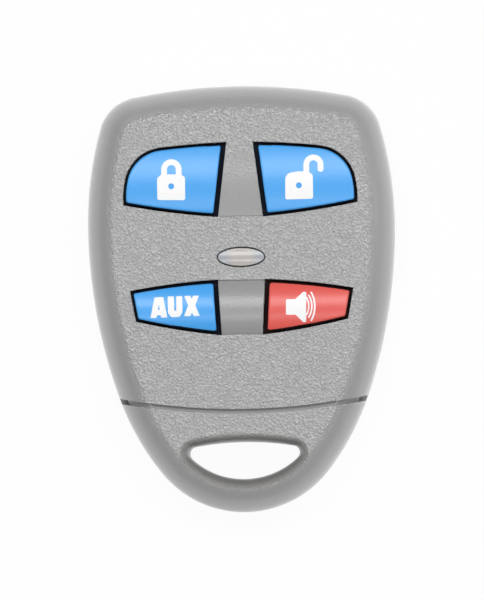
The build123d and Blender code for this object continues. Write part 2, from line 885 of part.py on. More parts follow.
with BuildPart() as antenna_trace:
    trace_inset = case_wall + board_gap + antenna_inset
    trace_end_y = board_end_y + antenna_inset
    with BuildSketch(Plane.XY.offset(board_top_z)):
        add(outline(trace_inset))
        add(outline(trace_inset + antenna_width), mode=Mode.SUBTRACT)
        with Locations((0, trace_end_y)):
            Rectangle(
                reach,
                antenna_end_y - trace_end_y,
                align=(Align.CENTER, Align.MIN),
                mode=Mode.INTERSECT,
            )
    extrude(amount=antenna_thickness)
    with BuildSketch(Plane.XY.offset(board_top_z)):
        add(outline(trace_inset))
        with Locations((0, trace_end_y)):
            Rectangle(reach, antenna_width, align=(Align.CENTER, Align.MIN), mode=Mode.INTERSECT)
    extrude(amount=antenna_thickness)
antenna_trace.part.label = "antenna_trace"
export_step(antenna_trace.part, "parts/antenna_trace.step")


# Parts on the front of the board

encoder_length, encoder_width, encoder_height = encoder_size

with BuildPart() as encoder_chip:
    with BuildSketch(Plane.XY.offset(board_top_z + encoder_body_rise)):
        with Locations((0, encoder_y)):
            Rectangle(encoder_length, encoder_width)
    extrude(amount=encoder_height)
    chamfer(encoder_chip.faces().sort_by(Axis.Z)[-1].edges(), chip_chamfer)
encoder_chip.part.label = "encoder_chip"
export_step(encoder_chip.part, "parts/encoder_chip.step")

with BuildPart() as encoder_legs:
    for side in (-1, 1):
        root_y = encoder_y + side * encoder_width / 2
        with BuildSketch(Plane.XY.offset(board_top_z)):
            with Locations((0, root_y + side * encoder_lead_reach / 2)):
                with GridLocations(encoder_pitch, 1, encoder_leads // 2, 1):
                    Rectangle(encoder_lead_width, encoder_lead_reach)
        extrude(amount=encoder_lead_thickness)
        with BuildSketch(Plane.XY.offset(board_top_z)):
            with Locations((0, root_y + side * encoder_lead_thickness / 2)):
                with GridLocations(encoder_pitch, 1, encoder_leads // 2, 1):
                    Rectangle(encoder_lead_width, encoder_lead_thickness)
        extrude(amount=encoder_body_rise + encoder_height / 2)
encoder_legs.part.label = "encoder_legs"
export_step(encoder_legs.part, "parts/encoder_legs.step")

with BuildPart() as resonator_can:
    with BuildSketch(Plane.XY.offset(board_top_z)):
        with Locations((0, resonator_y)):
            Circle(resonator_r + resonator_rim)
    extrude(amount=resonator_rim)
    with BuildSketch(Plane.XY.offset(board_top_z)):
        with Locations((0, resonator_y)):
            Circle(resonator_r)
    extrude(amount=resonator_height)
    fillet(resonator_can.faces().sort_by(Axis.Z)[-1].edges(), resonator_rim)
resonator_can.part.label = "resonator_can"
export_step(resonator_can.part, "parts/resonator_can.step")

transistor_length, transistor_width, transistor_height = transistor_size

with BuildPart() as transistor:
    with BuildSketch(Plane.XY.offset(board_top_z)):
        with Locations(transistor_place):
            Rectangle(transistor_length, transistor_width)
    extrude(amount=transistor_height)
    chamfer(transistor.faces().sort_by(Axis.Z)[-1].edges(), chip_chamfer)
transistor.part.label = "transistor"
export_step(transistor.part, "parts/transistor.step")

chip_length, chip_width, chip_height = chip_size

with BuildPart() as chip_resistors:
    with BuildSketch(Plane.XY.offset(board_top_z)):
        with Locations(resistor_place):
            with GridLocations(1, chip_pitch, 1, resistor_rows):
                Rectangle(chip_length, chip_width)
    extrude(amount=chip_height)
chip_resistors.part.label = "chip_resistors"
export_step(chip_resistors.part, "parts/chip_resistors.step")

with BuildPart() as chip_capacitors:
    with BuildSketch(Plane.XY.offset(board_top_z)):
        with Locations(capacitor_place):
            with GridLocations(1, chip_pitch, 1, capacitor_rows):
                Rectangle(chip_length, chip_width)
    extrude(amount=capacitor_height)
chip_capacitors.part.label = "chip_capacitors"
export_step(chip_capacitors.part, "parts/chip_capacitors.step")


# Coin cell behind the board: can, seal, pellet and cap, turned about its own axis

cell_axis = Axis((0, cell_y, 0), (0, 0, 1))
cell_top_z = cell_z + cell_height
cell_rim_z = cell_top_z - cell_shoulder
seal_outer_r = cell_r - cell_can_wall
seal_inner_r = seal_outer_r - cell_seal_wall
cap_floor_z = cell_z + 2 * cell_can_wall

with BuildPart() as cell_can:
    with BuildSketch(Plane.XY.offset(cell_z)):
        with Locations((0, cell_y)):
            Circle(cell_r)
    extrude(amount=cell_rim_z - cell_z)
    fillet(cell_can.faces().sort_by(Axis.Z)[0].edges(), cell_can_wall)
    with BuildSketch(Plane.XY.offset(cell_z + cell_can_wall)):
        with Locations((0, cell_y)):
            Circle(seal_outer_r)
    extrude(amount=cell_height, mode=Mode.SUBTRACT)
cell_can.part.label = "cell_can"
export_step(cell_can.part, "parts/cell_can.step")

with BuildPart() as cell_seal:
    with BuildSketch(Plane.XY.offset(cap_floor_z)):
        with Locations((0, cell_y)):
            Circle(seal_outer_r)
            Circle(seal_inner_r, mode=Mode.SUBTRACT)
    extrude(amount=cell_rim_z - cap_floor_z)
cell_seal.part.label = "cell_seal"
export_step(cell_seal.part, "parts/cell_seal.step")

with BuildPart() as cell_cap:
    with BuildSketch(Plane.XY.offset(cap_floor_z)):
        with Locations((0, cell_y)):
            Circle(seal_inner_r)
    extrude(amount=cell_rim_z - cap_floor_z)
    with BuildSketch(Plane.XY.offset(cell_rim_z)):
        with Locations((0, cell_y)):
            Circle(cell_cap_r)
    extrude(amount=cell_shoulder)
    fillet(cell_cap.faces().sort_by(Axis.Z)[-1].edges(), cell_can_wall)
    with BuildSketch(Plane.XY.offset(cap_floor_z)):
        with Locations((0, cell_y)):
            Circle(cell_cap_r - cell_can_wall)
    extrude(amount=cell_top_z - cell_can_wall - cap_floor_z, mode=Mode.SUBTRACT)
cell_cap.part.label = "cell_cap"
export_step(cell_cap.part, "parts/cell_cap.step")

with BuildPart() as cell_pellet:
    with BuildSketch(Plane.XY.offset(cap_floor_z)):
        with Locations((0, cell_y)):
            Circle(cell_cap_r - cell_can_wall)
    extrude(amount=cell_top_z - cell_can_wall - cap_floor_z)
cell_pellet.part.label = "cell_pellet"
export_step(cell_pellet.part, "parts/cell_pellet.step")


# Cell contacts soldered under the board: a strap round the can and a dimpled plate on the cap

clip_side_x = cell_r + clip_gap
clip_floor_z = cell_z - clip_thickness

with BuildPart() as positive_clip:
    with BuildSketch(Plane.XZ.offset(-cell_y)):
        with BuildLine():
            Polyline(
                (clip_side_x + clip_thickness + clip_foot, board_bottom_z),
                (clip_side_x, board_bottom_z),
                (clip_side_x, cell_z),
                (0, cell_z),
                (0, clip_floor_z),
                (clip_side_x + clip_thickness, clip_floor_z),
                (clip_side_x + clip_thickness, board_bottom_z - clip_thickness),
                (clip_side_x + clip_thickness + clip_foot, board_bottom_z - clip_thickness),
                close=True,
            )
        make_face()
        mirror(about=Plane.YZ)
    extrude(amount=clip_width / 2, both=True)
positive_clip.part.label = "positive_clip"
export_step(positive_clip.part, "parts/positive_clip.step")

with BuildPart() as negative_contact:
    with BuildSketch(Plane.XY.offset(board_bottom_z - contact_thickness)):
        with Locations((0, cell_y)):
            Circle(contact_r)
    extrude(amount=contact_thickness)
    with BuildSketch(Plane.XY.offset(board_bottom_z - contact_thickness)):
        with Locations((0, cell_y)):
            Circle(contact_dimple_r)
    with BuildSketch(Plane.XY.offset(cell_top_z)):
        with Locations((0, cell_y)):
            Circle(contact_tip_r)
    loft()
negative_contact.part.label = "negative_contact"
export_step(negative_contact.part, "parts/negative_contact.step")
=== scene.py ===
"""Looks of the car keyless entry remote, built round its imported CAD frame."""

import bpy
import json
from math import asin, atan, atan2, cos, degrees, pi, radians, sin, sqrt, tan
from mathutils import Matrix, Vector


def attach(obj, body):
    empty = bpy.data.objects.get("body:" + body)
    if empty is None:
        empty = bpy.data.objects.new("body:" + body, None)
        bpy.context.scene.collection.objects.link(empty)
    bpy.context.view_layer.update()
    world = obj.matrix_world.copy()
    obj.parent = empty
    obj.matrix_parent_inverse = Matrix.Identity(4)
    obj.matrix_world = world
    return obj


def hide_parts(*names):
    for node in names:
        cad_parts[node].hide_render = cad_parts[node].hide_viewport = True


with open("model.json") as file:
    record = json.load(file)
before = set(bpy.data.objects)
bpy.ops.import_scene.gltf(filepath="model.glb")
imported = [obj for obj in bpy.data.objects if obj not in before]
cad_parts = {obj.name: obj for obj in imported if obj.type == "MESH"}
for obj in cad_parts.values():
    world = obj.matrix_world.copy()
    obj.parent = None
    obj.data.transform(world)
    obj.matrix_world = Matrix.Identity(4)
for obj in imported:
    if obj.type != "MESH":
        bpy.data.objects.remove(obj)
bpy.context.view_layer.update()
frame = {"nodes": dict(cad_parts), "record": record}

mm = 0.001

# Case, in millimetres
half_length = 30.0
half_width = 21.6
widest_y = 10.4
top_edge_r = 77.0
top_corner_r = 6.0
upper_side_r = 50.6
waist = Vector((17.4, -14.0))
ring_end_r = 14.85
parting_z = 6.6
face_z = 12.0
case_wall = 1.6
ceiling_z = 10.6
rear_wall = 1.5
shoulder_r = 5.8
rear_round_r = 4.6
plateau_foot = 2.75
plateau_slope = 45
plateau_round = 1.3
edge_round = 0.09
fit_gap = 0.05

# How far a cutter runs past what it cuts, a span longer than such a cut, a level above all pieces,
# and how far off a level still counts as on it
overrun = 1.0
far_span = 60.0
above_all_z = 15.0
level_slack = 0.05

# Merging and rounding of what the cuts leave
weld_gap = 0.0005
merge_gap = 0.02
shortest_edge = 0.004
crowding = 2.3
pointed_angle = 40

# Seam
seam_y = -15.55
seam_r = 88.0
groove_width = 0.72
groove_depth = 0.9
ledge_thickness = 1.0
ledge_reach = 1.2
ledge_gap = 0.15
end_wall = 1.3
lip_height = 0.8

# Key-ring slot
slot_top_y = -20.1
slot_bottom_y = -25.35
slot_top_r = 39.9
slot_bottom_r = 11.0
slot_corner_r = 1.0
slot_wall_share = 0.62
flare_depth = 3.6
flare_top = 1.2
flare_bottom = 2.9
flare_bottom_r = 10.2
flare_corner_r = 2.4
rear_flare_depth = 1.6
rear_flare_share = 0.5
crest_round = 0.2
crest_angle = 15
crest_rings = (0.45, 1.03)
crest_heights = (11.2, 11.97)
crest_top_y = -21.8

# Barrels of the two rows and of the upper band: middle in Y, radius, height of the crest
upper_barrel = (16.0, 17.0, 13.0)
lower_barrel = (-1.6, 6.8, 13.0)
upper_band_barrel = (15.4, 44.0, 12.3)

# Bands: right-hand ends of the strip between the windows of a row, top and bottom
upper_ends = ((1.85, 21.9), (3.15, 11.55))
lower_ends = ((3.3, 2.6), (2.85, -5.05))
lower_seat_z = 11.4
band_spread = 0.35
band_foot = 0.4

# Windows in plan, from the inner top corner round the outside to the inner bottom corner
upper_corners = ((1.85, 22.0), (11.2, 21.35), (16.15, 16.9), (16.45, 13.3), (3.15, 11.45))
lower_corners = ((3.3, 2.7), (15.7, 1.27), (14.9, -3.08), (2.85, -5.15))
window_sag = 0.2
upper_top_sag = 0.1

# Buttons
cap_gap = 0.4
cap_inner_gap = 0.65
cap_corner = 0.4
cap_wall = 1.0
cap_edge = 0.3
# Below this level, and on steep faces, each cap is painted dark: painted shade for the gap round it
painted_shade_z = 11.3
flange_bottom_z = 9.97
flange_top_z = 10.57
flange_spread = 0.4
cap_foot_z = 10.2
stem_r = 1.4
stem_root = 0.3
plunger_top_z = 9.7
roof_z = 10.93
slice_step = 0.3
upper_switch = (9.6, 16.6)
lower_switch = (9.2, -1.2)

# Lens
lens_y = 5.8
lens_long = 3.32
lens_short = 1.32
lens_gap = 0.13
lens_rise = 0.15
lens_edge = 0.2
lens_crown = 0.2
lens_flange = 0.8
lens_flange_thickness = 0.5
lens_tail = 0.62
lens_tail_z = 7.95
lens_tail_root = 0.1

# Screws, posts, cell ribs and the bare panel behind
upper_screw = (14.0, 24.4)
ring_screw = (11.4, -17.9)
upper_post = (15.6, 7.0)
lower_post = (12.0, -7.9)
post_r = 1.3
pin_r = 0.6
board_bottom_z = 5.8
cell_y = 4.0
cell_rib_r = 10.4
cell_rib_width = 1.0
cell_rib_height = 2.4
cell_rib_length = 11.0
screw_head_r = 1.9
screw_recess = 1.9
screw_hole_r = 1.05
boss_r = 2.1
rear_boss_r = 2.5
pilot_r = 0.92
pilot_end_z = 9.9
panel_size = (22.0, 12.0)
panel_y = 4.0
panel_depth = 0.2
panel_corner = 1.5

# White prints on the caps: how far they stand proud, how deep they root, and their cuts across
ink = 0.014
ink_root = 0.06
ink_slice_step = 0.25


def tint(red, green, blue):
    """A colour given as it looks on screen, 0 to 255, as the linear value that a shader takes."""
    shades = []
    for level in (red, green, blue):
        share = level / 255
        shades.append(share / 12.92 if share <= 0.04045 else ((share + 0.055) / 1.055) ** 2.4)
    return (*shades, 1.0)


# Plan curves

def bow(start, end, lean, count):
    """Points along an arc that leaves its chord at an angle, without the last one."""
    start, end = Vector(start), Vector(end)
    chord = end - start
    heading = atan2(chord.y, chord.x)
    points = []
    for index in range(count):
        share = index / count
        reach = chord.length * (share if abs(lean) < 1e-6 else sin(share * lean) / sin(lean))
        turn = heading + lean - share * lean
        points.append(start + Vector((cos(turn), sin(turn))) * reach)
    return points


def sagged(start, end, rise, count):
    """An arc between two points that stands off its chord by a rise, to the left of the way it runs."""
    span = (Vector(end) - Vector(start)).length
    return bow(start, end, 2 * atan(2 * rise / span), count)


def flowing(stops, heading, counts):
    """Arcs through the stops, each leaving in the direction in which the last one arrived."""
    points = []
    for start, end, count in zip(stops, stops[1:], counts):
        chord = Vector(end) - Vector(start)
        way = atan2(chord.y, chord.x)
        lean = (heading - way + pi) % (2 * pi) - pi
        points += bow(start, end, lean, count)
        heading = way - lean
    return points + [Vector(stops[-1])]


def mirrored(right_half):
    """A closed outline from its right half, which runs from the top to the bottom of the middle line."""
    return right_half + [Vector((-point.x, point.y)) for point in right_half[-2:0:-1]]


def flipped(points):
    """The same plan on the left-hand side."""
    return [Vector((-point[0], point[1])) for point in points]


def parallel(points, gap, last_gap=None):
    """A clockwise outline drawn in by a gap, its closing edge by a gap of its own."""
    moved = []
    count = len(points)
    for index, here in enumerate(points):
        back = (here - points[index - 1]).normalized()
        ahead = (points[(index + 1) % count] - here).normalized()
        one, two = Vector((back.y, -back.x)), Vector((ahead.y, -ahead.x))
        first = last_gap if last_gap and index == 0 else gap
        second = last_gap if last_gap and index == count - 1 else gap
        if first == second:
            moved.append(here + (one + two) * gap / (1 + one.dot(two)))
        else:
            cross = one.x * two.y - one.y * two.x
            step = Vector((first * two.y - second * one.y, second * one.x - first * two.x))
            moved.append(here + step / cross)
    return moved


blunt_corner = radians(150)


def opening_at(points, index):
    """The inner angle of an outline at one of its points."""
    here = Vector(points[index])
    return (Vector(points[index - 1]) - here).angle(Vector(points[(index + 1) % len(points)]) - here)


def cleared(points, room):
    """The outline without the points that crowd its sharp corners."""
    sharp = [point for index, point in enumerate(points) if opening_at(points, index) < blunt_corner]

    def is_free(point):
        return min((point - corner).length for corner in sharp) > room

    return [point for point in points if point in sharp or is_free(point)]


def within(points, place):
    """Whether a plan point lies inside an outline."""
    crossings = 0
    for index, end in enumerate(points):
        begin = points[index - 1]
        if (begin.y > place.y) != (end.y > place.y):
            share = (place.y - begin.y) / (end.y - begin.y)
            crossings += place.x < begin.x + share * (end.x - begin.x)
    return crossings % 2 == 1


def rounded_each(corners, radii, steps=6):
    """A polygon with each corner rounded by its own radius, or left alone where that is 0."""
    points = []
    count = len(corners)
    for index, (corner, radius) in enumerate(zip(corners, radii)):
        here = Vector(corner)
        if not radius:
            points.append(here)
            continue
        back = Vector(corners[index - 1]) - here
        ahead = Vector(corners[(index + 1) % count]) - here
        # Rounds at both ends of a side must not meet
        longest = 0.48 * min(back.length, ahead.length)
        reach = min(radius / tan(back.angle(ahead) / 2), longest)
        ends = [here + back.normalized() * reach, here + ahead.normalized() * reach]
        points += flowing(ends, atan2(-back.y, -back.x), (steps,))
    return points


def rounded(corners, radius):
    """A polygon with its sharp corners rounded, and cleared of the points that would crowd them."""
    corners = cleared(corners, 2.2 * radius)
    blunt = [opening_at(corners, index) > blunt_corner for index in range(len(corners))]
    return rounded_each(corners, [0 if flat else radius for flat in blunt])


def circles_meet(first, first_r, second, second_r):
    """The right-hand point where two circles cross."""
    apart = second - first
    along = (apart.length_squared + first_r**2 - second_r**2) / (2 * apart.length)
    aside = sqrt(max(first_r**2 - along**2, 0))
    step = apart.normalized()
    normal = Vector((-step.y, step.x))
    one, other = first + step * along + normal * aside, first + step * along - normal * aside
    return one if one.x > other.x else other


top_centre = Vector((0, half_length - top_edge_r))
side_centre = Vector((half_width - upper_side_r, widest_y))
corner_centre = circles_meet(
    top_centre, top_edge_r - top_corner_r, side_centre, upper_side_r - top_corner_r
)
narrowing = half_width - waist.x
lower_side_r = (narrowing**2 + (widest_y - waist.y) ** 2) / (2 * narrowing)
lower_centre = Vector((half_width - lower_side_r, widest_y))
end_centre = Vector((0, ring_end_r - half_length))
waist_inward = (lower_centre - waist).normalized()
waist_to_end = waist - end_centre
ring_side_r = (ring_end_r**2 - waist_to_end.length_squared) / (
    2 * (waist_inward.dot(waist_to_end) + ring_end_r)
)
ring_side_centre = waist + waist_inward * ring_side_r

# Steps along each arc of the outline's right half, from the top down
outline_counts = (16, 26, 12, 32, 14, 34)


def outline(inset=0.0):
    """The plan outline of the case, or its parallel at an inset."""
    def on_arc(centre, radius, direction):
        return centre + direction.normalized() * (radius - inset)

    stops = [
        Vector((0, half_length - inset)),
        on_arc(top_centre, top_edge_r, corner_centre - top_centre),
        on_arc(side_centre, upper_side_r, corner_centre - side_centre),
        Vector((half_width - inset, widest_y)),
        waist + waist_inward * inset,
        on_arc(end_centre, ring_end_r, end_centre - ring_side_centre),
        Vector((0, inset - half_length)),
    ]
    return mirrored(flowing(stops, 0.0, outline_counts))


def slot_ring(spread):
    """The key-ring slot in plan: 0 is the through hole and 1 the outer rim of its flare."""
    bottom_r = slot_bottom_r + (flare_bottom_r - slot_bottom_r) * spread
    bottom = Vector((0, slot_bottom_y - flare_bottom * spread + bottom_r))
    top_r = slot_top_r + flare_top * spread
    top = Vector((0, slot_top_y + flare_top * spread - top_r))
    corner_r = slot_corner_r + (flare_corner_r - slot_corner_r) * spread
    corner = circles_meet(top, top_r - corner_r, bottom, bottom_r - corner_r)
    stops = [
        Vector((0, top.y + top_r)),
        top + (corner - top).normalized() * top_r,
        bottom + (corner - bottom).normalized() * bottom_r,
        Vector((0, bottom.y - bottom_r)),
    ]
    return mirrored(flowing(stops, 0.0, (14, 18, 26)))


def upper_window():
    """The right-hand upper window in plan: a bowed top that flows into a rounded outer side."""
    inner_top, top_end, side_top, outer_bottom, inner_bottom = [Vector(corner) for corner in upper_corners]
    top = sagged(inner_top, top_end, upper_top_sag, 10)
    chord = top_end - inner_top
    heading = atan2(chord.y, chord.x) - 2 * atan(2 * upper_top_sag / chord.length)
    side = flowing([top_end, side_top, outer_bottom], heading, (16, 4))[:-1]
    return top + side + sagged(outer_bottom, inner_bottom, window_sag, 12) + [inner_bottom]


def lower_window():
    """The right-hand lower window in plan."""
    inner_top, outer_top, outer_bottom, inner_bottom = [Vector(corner) for corner in lower_corners]
    top = sagged(inner_top, outer_top, window_sag, 12)
    return top + [outer_top] + sagged(outer_bottom, inner_bottom, window_sag, 12) + [inner_bottom]


# Modelling steps, as done by hand in edit mode

def deselect_all():
    """Leaves edit mode and takes nothing."""
    if bpy.context.object and bpy.context.object.mode == "EDIT":
        bpy.ops.object.mode_set(mode="OBJECT")
    bpy.ops.object.select_all(action="DESELECT")


def take(piece):
    """Makes one piece the selected and active one."""
    deselect_all()
    piece.select_set(True)
    bpy.context.view_layer.objects.active = piece
    return piece


def edit(piece, choice="SELECT", kind=None):
    """Takes the piece into edit mode with all of it selected, or nothing."""
    take(piece)
    bpy.ops.object.mode_set(mode="EDIT")
    if kind:
        bpy.ops.mesh.select_mode(type=kind)
    bpy.ops.mesh.select_all(action=choice)


def start(name, points, z):
    """A flat face with its corners at the given plan points, left in edit mode."""
    deselect_all()
    bpy.ops.mesh.primitive_circle_add(vertices=len(points), radius=mm, fill_type="NGON")
    piece = bpy.context.object
    piece.name = piece.data.name = name
    for vertex, (x, y) in zip(piece.data.vertices, points):
        vertex.co = (x * mm, y * mm, z * mm)
    bpy.ops.object.mode_set(mode="EDIT")
    bpy.ops.mesh.select_mode(type="FACE")
    bpy.ops.mesh.select_all(action="SELECT")
    return piece


def raise_face(height):
    """Extrudes the selected face straight up, or down where the height is negative."""
    bpy.ops.mesh.extrude_region_move(TRANSFORM_OT_translate={"value": (0, 0, height * mm)})


def draw_in(thickness, depth=0.0):
    """Insets the selected face, and sinks or raises it."""
    bpy.ops.mesh.inset(thickness=thickness * mm, depth=depth * mm)


def round_over(radius, first, last, steps):
    """Draws the selected face in and up along an arc, from one angle to another."""
    for index in range(steps):
        before = first + (last - first) * index / steps
        after = first + (last - first) * (index + 1) / steps
        draw_in(
            radius * (cos(radians(before)) - cos(radians(after))),
            radius * (sin(radians(after)) - sin(radians(before))),
        )


def end_face(piece, up=True):
    """Selects only the topmost or lowest faces of the piece, in edit mode."""
    bpy.ops.object.mode_set(mode="OBJECT")
    heights = [face.center.z for face in piece.data.polygons]
    level = max(heights) if up else min(heights)
    for face in piece.data.polygons:
        face.select = abs(face.center.z - level) < 1e-7
    for edge in piece.data.edges:
        edge.select = False
    for vertex in piece.data.vertices:
        vertex.select = False
    for face in piece.data.polygons:
        if face.select:
            for index in face.vertices:
                piece.data.vertices[index].select = True
    bpy.ops.object.mode_set(mode="EDIT")
    bpy.ops.mesh.select_mode(type="FACE")


def closed(piece):
    """Turns every face of the piece outwards and leaves edit mode."""
    edit(piece)
    bpy.ops.mesh.normals_make_consistent(inside=False)
    bpy.ops.object.mode_set(mode="OBJECT")
    return piece


def prism(name, points, low, high):
    """A plate with straight sides."""
    piece = start(name, points, low)
    raise_face(high - low)
    return closed(piece)


def loft(name, rings):
    """A solid through rings of plan points, each at its own height."""
    first, low = rings[0]
    piece = start(name, first, low)
    # Extruded corners start where the last ring's stood, so each is found again by its place
    placed = {tuple(vertex.co): index for index, vertex in enumerate(piece.data.vertices)}
    for points, z in rings[1:]:
        bpy.ops.mesh.extrude_region()
        bpy.ops.object.mode_set(mode="OBJECT")
        moved = {}
        for vertex in piece.data.vertices:
            if vertex.select:
                index = placed[tuple(vertex.co)]
                vertex.co = (points[index][0] * mm, points[index][1] * mm, z * mm)
                moved[tuple(vertex.co)] = index
        placed = moved
        bpy.ops.object.mode_set(mode="EDIT")
    return closed(piece)


def combine(piece, other, how, keep_other=False):
    """Cuts, joins or crosses a piece with another one, which is used up unless it is kept.

    Corners that the step leaves on top of each other are welded, as open slits spoil the next cut.
    """
    take(piece)
    bpy.ops.object.modifier_add(type="BOOLEAN")
    change = piece.modifiers[-1]
    change.operation = how
    change.solver = "EXACT"
    change.object = other
    bpy.ops.object.modifier_apply(modifier=change.name)
    edit(piece, kind="VERT")
    bpy.ops.mesh.remove_doubles(threshold=weld_gap * mm)
    bpy.ops.object.mode_set(mode="OBJECT")
    if not keep_other:
        bpy.data.objects.remove(other)
    return piece


def cut(piece, other, keep_other=False):
    """Takes one piece out of another."""
    return combine(piece, other, "DIFFERENCE", keep_other)


def crowded_corners(mesh, sharp, room):
    """The corners where an edge is too short, or two sharp edges too pointed, to hold a round."""
    crowded = set()
    ways = {}
    for edge in mesh.edges:
        first, last = edge.vertices
        if (mesh.vertices[last].co - mesh.vertices[first].co).length < room * mm:
            crowded.update(edge.vertices)
    for edge in sharp:
        first, last = edge.vertices
        run = mesh.vertices[last].co - mesh.vertices[first].co
        ways.setdefault(first, []).append(run)
        ways.setdefault(last, []).append(-run)
    for corner, runs in ways.items():
        pairs = [(one, two) for index, one in enumerate(runs) for two in runs[:index]]
        if any(one.angle(two) < radians(pointed_angle) for one, two in pairs):
            crowded.add(corner)
    return crowded


def select_sharp(piece, angle):
    """Selects the sharp edges of the piece, and gives them back."""
    edit(piece, "DESELECT", "EDGE")
    bpy.ops.mesh.edges_select_sharp(sharpness=radians(angle))
    bpy.ops.object.mode_set(mode="OBJECT")
    return [edge for edge in piece.data.edges if edge.select]


def bevel_selected(width, segments, clamp):
    """Rounds the selected edges of the piece in hand."""
    bpy.ops.object.mode_set(mode="EDIT")
    bpy.ops.mesh.bevel(offset=width * mm, segments=segments, affect="EDGES", clamp_overlap=clamp)
    bpy.ops.object.mode_set(mode="OBJECT")


def round_edges(piece, width, angle):
    """Rounds the sharp edges, apart from those that are too short or too pointed for it."""
    sharp = select_sharp(piece, angle)
    crowded = crowded_corners(piece.data, sharp, crowding * width)
    for edge in sharp:
        edge.select = not crowded.intersection(edge.vertices)
    bevel_selected(width, segments=2, clamp=False)


def round_slot_crest(piece):
    """Rounds the crest where the slot's flare runs out into the shoulder."""
    inner_ring, outer_ring = [slot_ring(spread) for spread in crest_rings]
    low, high = crest_heights
    for edge in select_sharp(piece, crest_angle):
        ends = [piece.data.vertices[index].co / mm for index in edge.vertices]
        on_crest = all(low < end.z < high and end.y < crest_top_y for end in ends)
        beside = all(within(outer_ring, end) and not within(inner_ring, end) for end in ends)
        edge.select = on_crest and beside
    bevel_selected(crest_round, segments=4, clamp=True)


def soften(piece, width=edge_round, angle=38):
    """Rounds the sharp edges a little and shades the rest smoothly."""
    edit(piece, kind="VERT")
    bpy.ops.mesh.remove_doubles(threshold=merge_gap * mm)
    bpy.ops.mesh.dissolve_degenerate(threshold=shortest_edge * mm)
    bpy.ops.mesh.delete_loose(use_verts=True, use_edges=True, use_faces=False)
    bpy.ops.object.mode_set(mode="OBJECT")
    if width:
        round_edges(piece, width, angle)
    bpy.ops.object.shade_smooth_by_angle(angle=radians(angle))
    bpy.ops.object.modifier_add(type="WEIGHTED_NORMAL")
    weighting = piece.modifiers[-1]
    weighting.keep_sharp = True
    weighting.weight = 60
    bpy.ops.object.modifier_apply(modifier=weighting.name)
    return piece


# The shells and their cuts

def outward_end(piece, up=True):
    """Turns the faces of a fresh plate outwards and selects its top or its bottom again."""
    bpy.ops.mesh.select_all(action="SELECT")
    bpy.ops.mesh.normals_make_consistent(inside=False)
    end_face(piece, up)


def angle_at_rise(rise, radius):
    """The angle along a round at which its arc has risen this far."""
    return degrees(asin(min(1.0, rise / radius)))


def angle_at_inset(inset, radius):
    """The angle along a round at which its arc has drawn in this far."""
    return degrees(atan2(sqrt(radius**2 - (radius - inset) ** 2), radius - inset))


def shoulder_form(name, inset, top_z, foot_z, plateau=False):
    """The solid under the front skin, drawn in by an inset, from a foot up to a level top."""
    piece = start(name, outline(inset), foot_z)
    raise_face(parting_z - foot_z)
    outward_end(piece)
    round_r = shoulder_r - inset
    if plateau:
        last = angle_at_inset(plateau_foot, round_r)
        round_over(round_r, 0, last, 12)
        crest_rise = plateau_round * (1 - sin(radians(plateau_slope)))
        step_rise = face_z - crest_rise - parting_z - round_r * sin(radians(last))
        draw_in(step_rise / tan(radians(plateau_slope)), step_rise)
        round_over(plateau_round, plateau_slope, 90, 7)
    else:
        round_over(round_r, 0, angle_at_rise(top_z - parting_z, round_r), 10)
    return closed(piece)


def trim_below(piece, z):
    """Cuts off all that lies below a level and closes the cut."""
    edit(piece)
    bpy.ops.mesh.bisect(plane_co=(0, 0, z * mm), plane_no=(0, 0, 1), use_fill=True, clear_inner=True)
    return closed(piece)


def rear_form(name, inset, floor):
    """The solid inside the rear skin, drawn in by an inset, from the parting plane down to a floor."""
    piece = start(name, outline(inset), parting_z)
    round_r = rear_round_r - max(inset, floor)
    raise_face(floor + round_r - parting_z)
    outward_end(piece, up=False)
    round_over(round_r, 0, 90, 12)
    return closed(piece)


def seam_side(name, drop, above=True):
    """A block that ends along the seam's arc: all that lies above it, or below it."""
    reach = 30.0
    level = seam_y - drop
    centre_y = level + seam_r
    edge_y = centre_y - sqrt(seam_r**2 - reach**2)
    curve = sagged((-reach, edge_y), (reach, edge_y), -(edge_y - level), 90)
    far_y = 40.0 if above else -40.0
    points = curve + [Vector((reach, edge_y)), Vector((reach, far_y)), Vector((-reach, far_y))]
    return prism(name, points, -2 * overrun, above_all_z)


def slot_cutter():
    """What the key-ring slot takes out: a through hole that flares at both faces."""
    past = 1.02
    rings = [(slot_ring(rear_flare_share * past), -0.5 * overrun)]
    steps = 12
    for index in range(steps, -1, -1):
        turn = pi / 2 * index / steps
        spread = rear_flare_share * (1 - cos(turn))
        rings.append((slot_ring(spread), rear_flare_depth * (1 - sin(turn))))
    for index in range(steps + 1):
        turn = pi / 2 * index / steps
        rings.append((slot_ring(1 - cos(turn)), face_z - flare_depth * (1 - sin(turn))))
    rings.append((slot_ring(past), face_z + 0.5 * overrun))
    return loft("slot_cutter", rings)


def oval(place, long_r, short_r, sides=64):
    """Points round an oval that is long in X."""
    turns = [2 * pi * index / sides for index in range(sides)]
    return [Vector((place[0] + long_r * cos(turn), place[1] + short_r * sin(turn))) for turn in turns]


def disc(name, place, radius, low, high):
    """A round plate or a round cutter."""
    return prism(name, oval(place, radius, radius, 48), low, high)


def box_plan(middle, width, length):
    """The corners of a rectangle round its middle."""
    west, east = middle[0] - width / 2, middle[0] + width / 2
    south, north = middle[1] - length / 2, middle[1] + length / 2
    return [(west, south), (east, south), (east, north), (west, north)]


def block(name, middle, width, length, low, high):
    """A plain box, or a square-cornered cutter."""
    return prism(name, box_plan(middle, width, length), low, high)


def slice_along_y(piece, step):
    """Cuts the piece across at steady steps in Y, so that its top can follow a curve."""
    levels = [vertex.co.y / mm for vertex in piece.data.vertices]
    low, high = min(levels), max(levels)
    edit(piece)
    count = int((high - low) / step) + 1
    for index in range(1, count):
        y = low + (high - low) * index / count
        bpy.ops.mesh.select_all(action="SELECT")
        bpy.ops.mesh.bisect(plane_co=(0, y * mm, 0), plane_no=(0, 1, 0))
    bpy.ops.object.mode_set(mode="OBJECT")


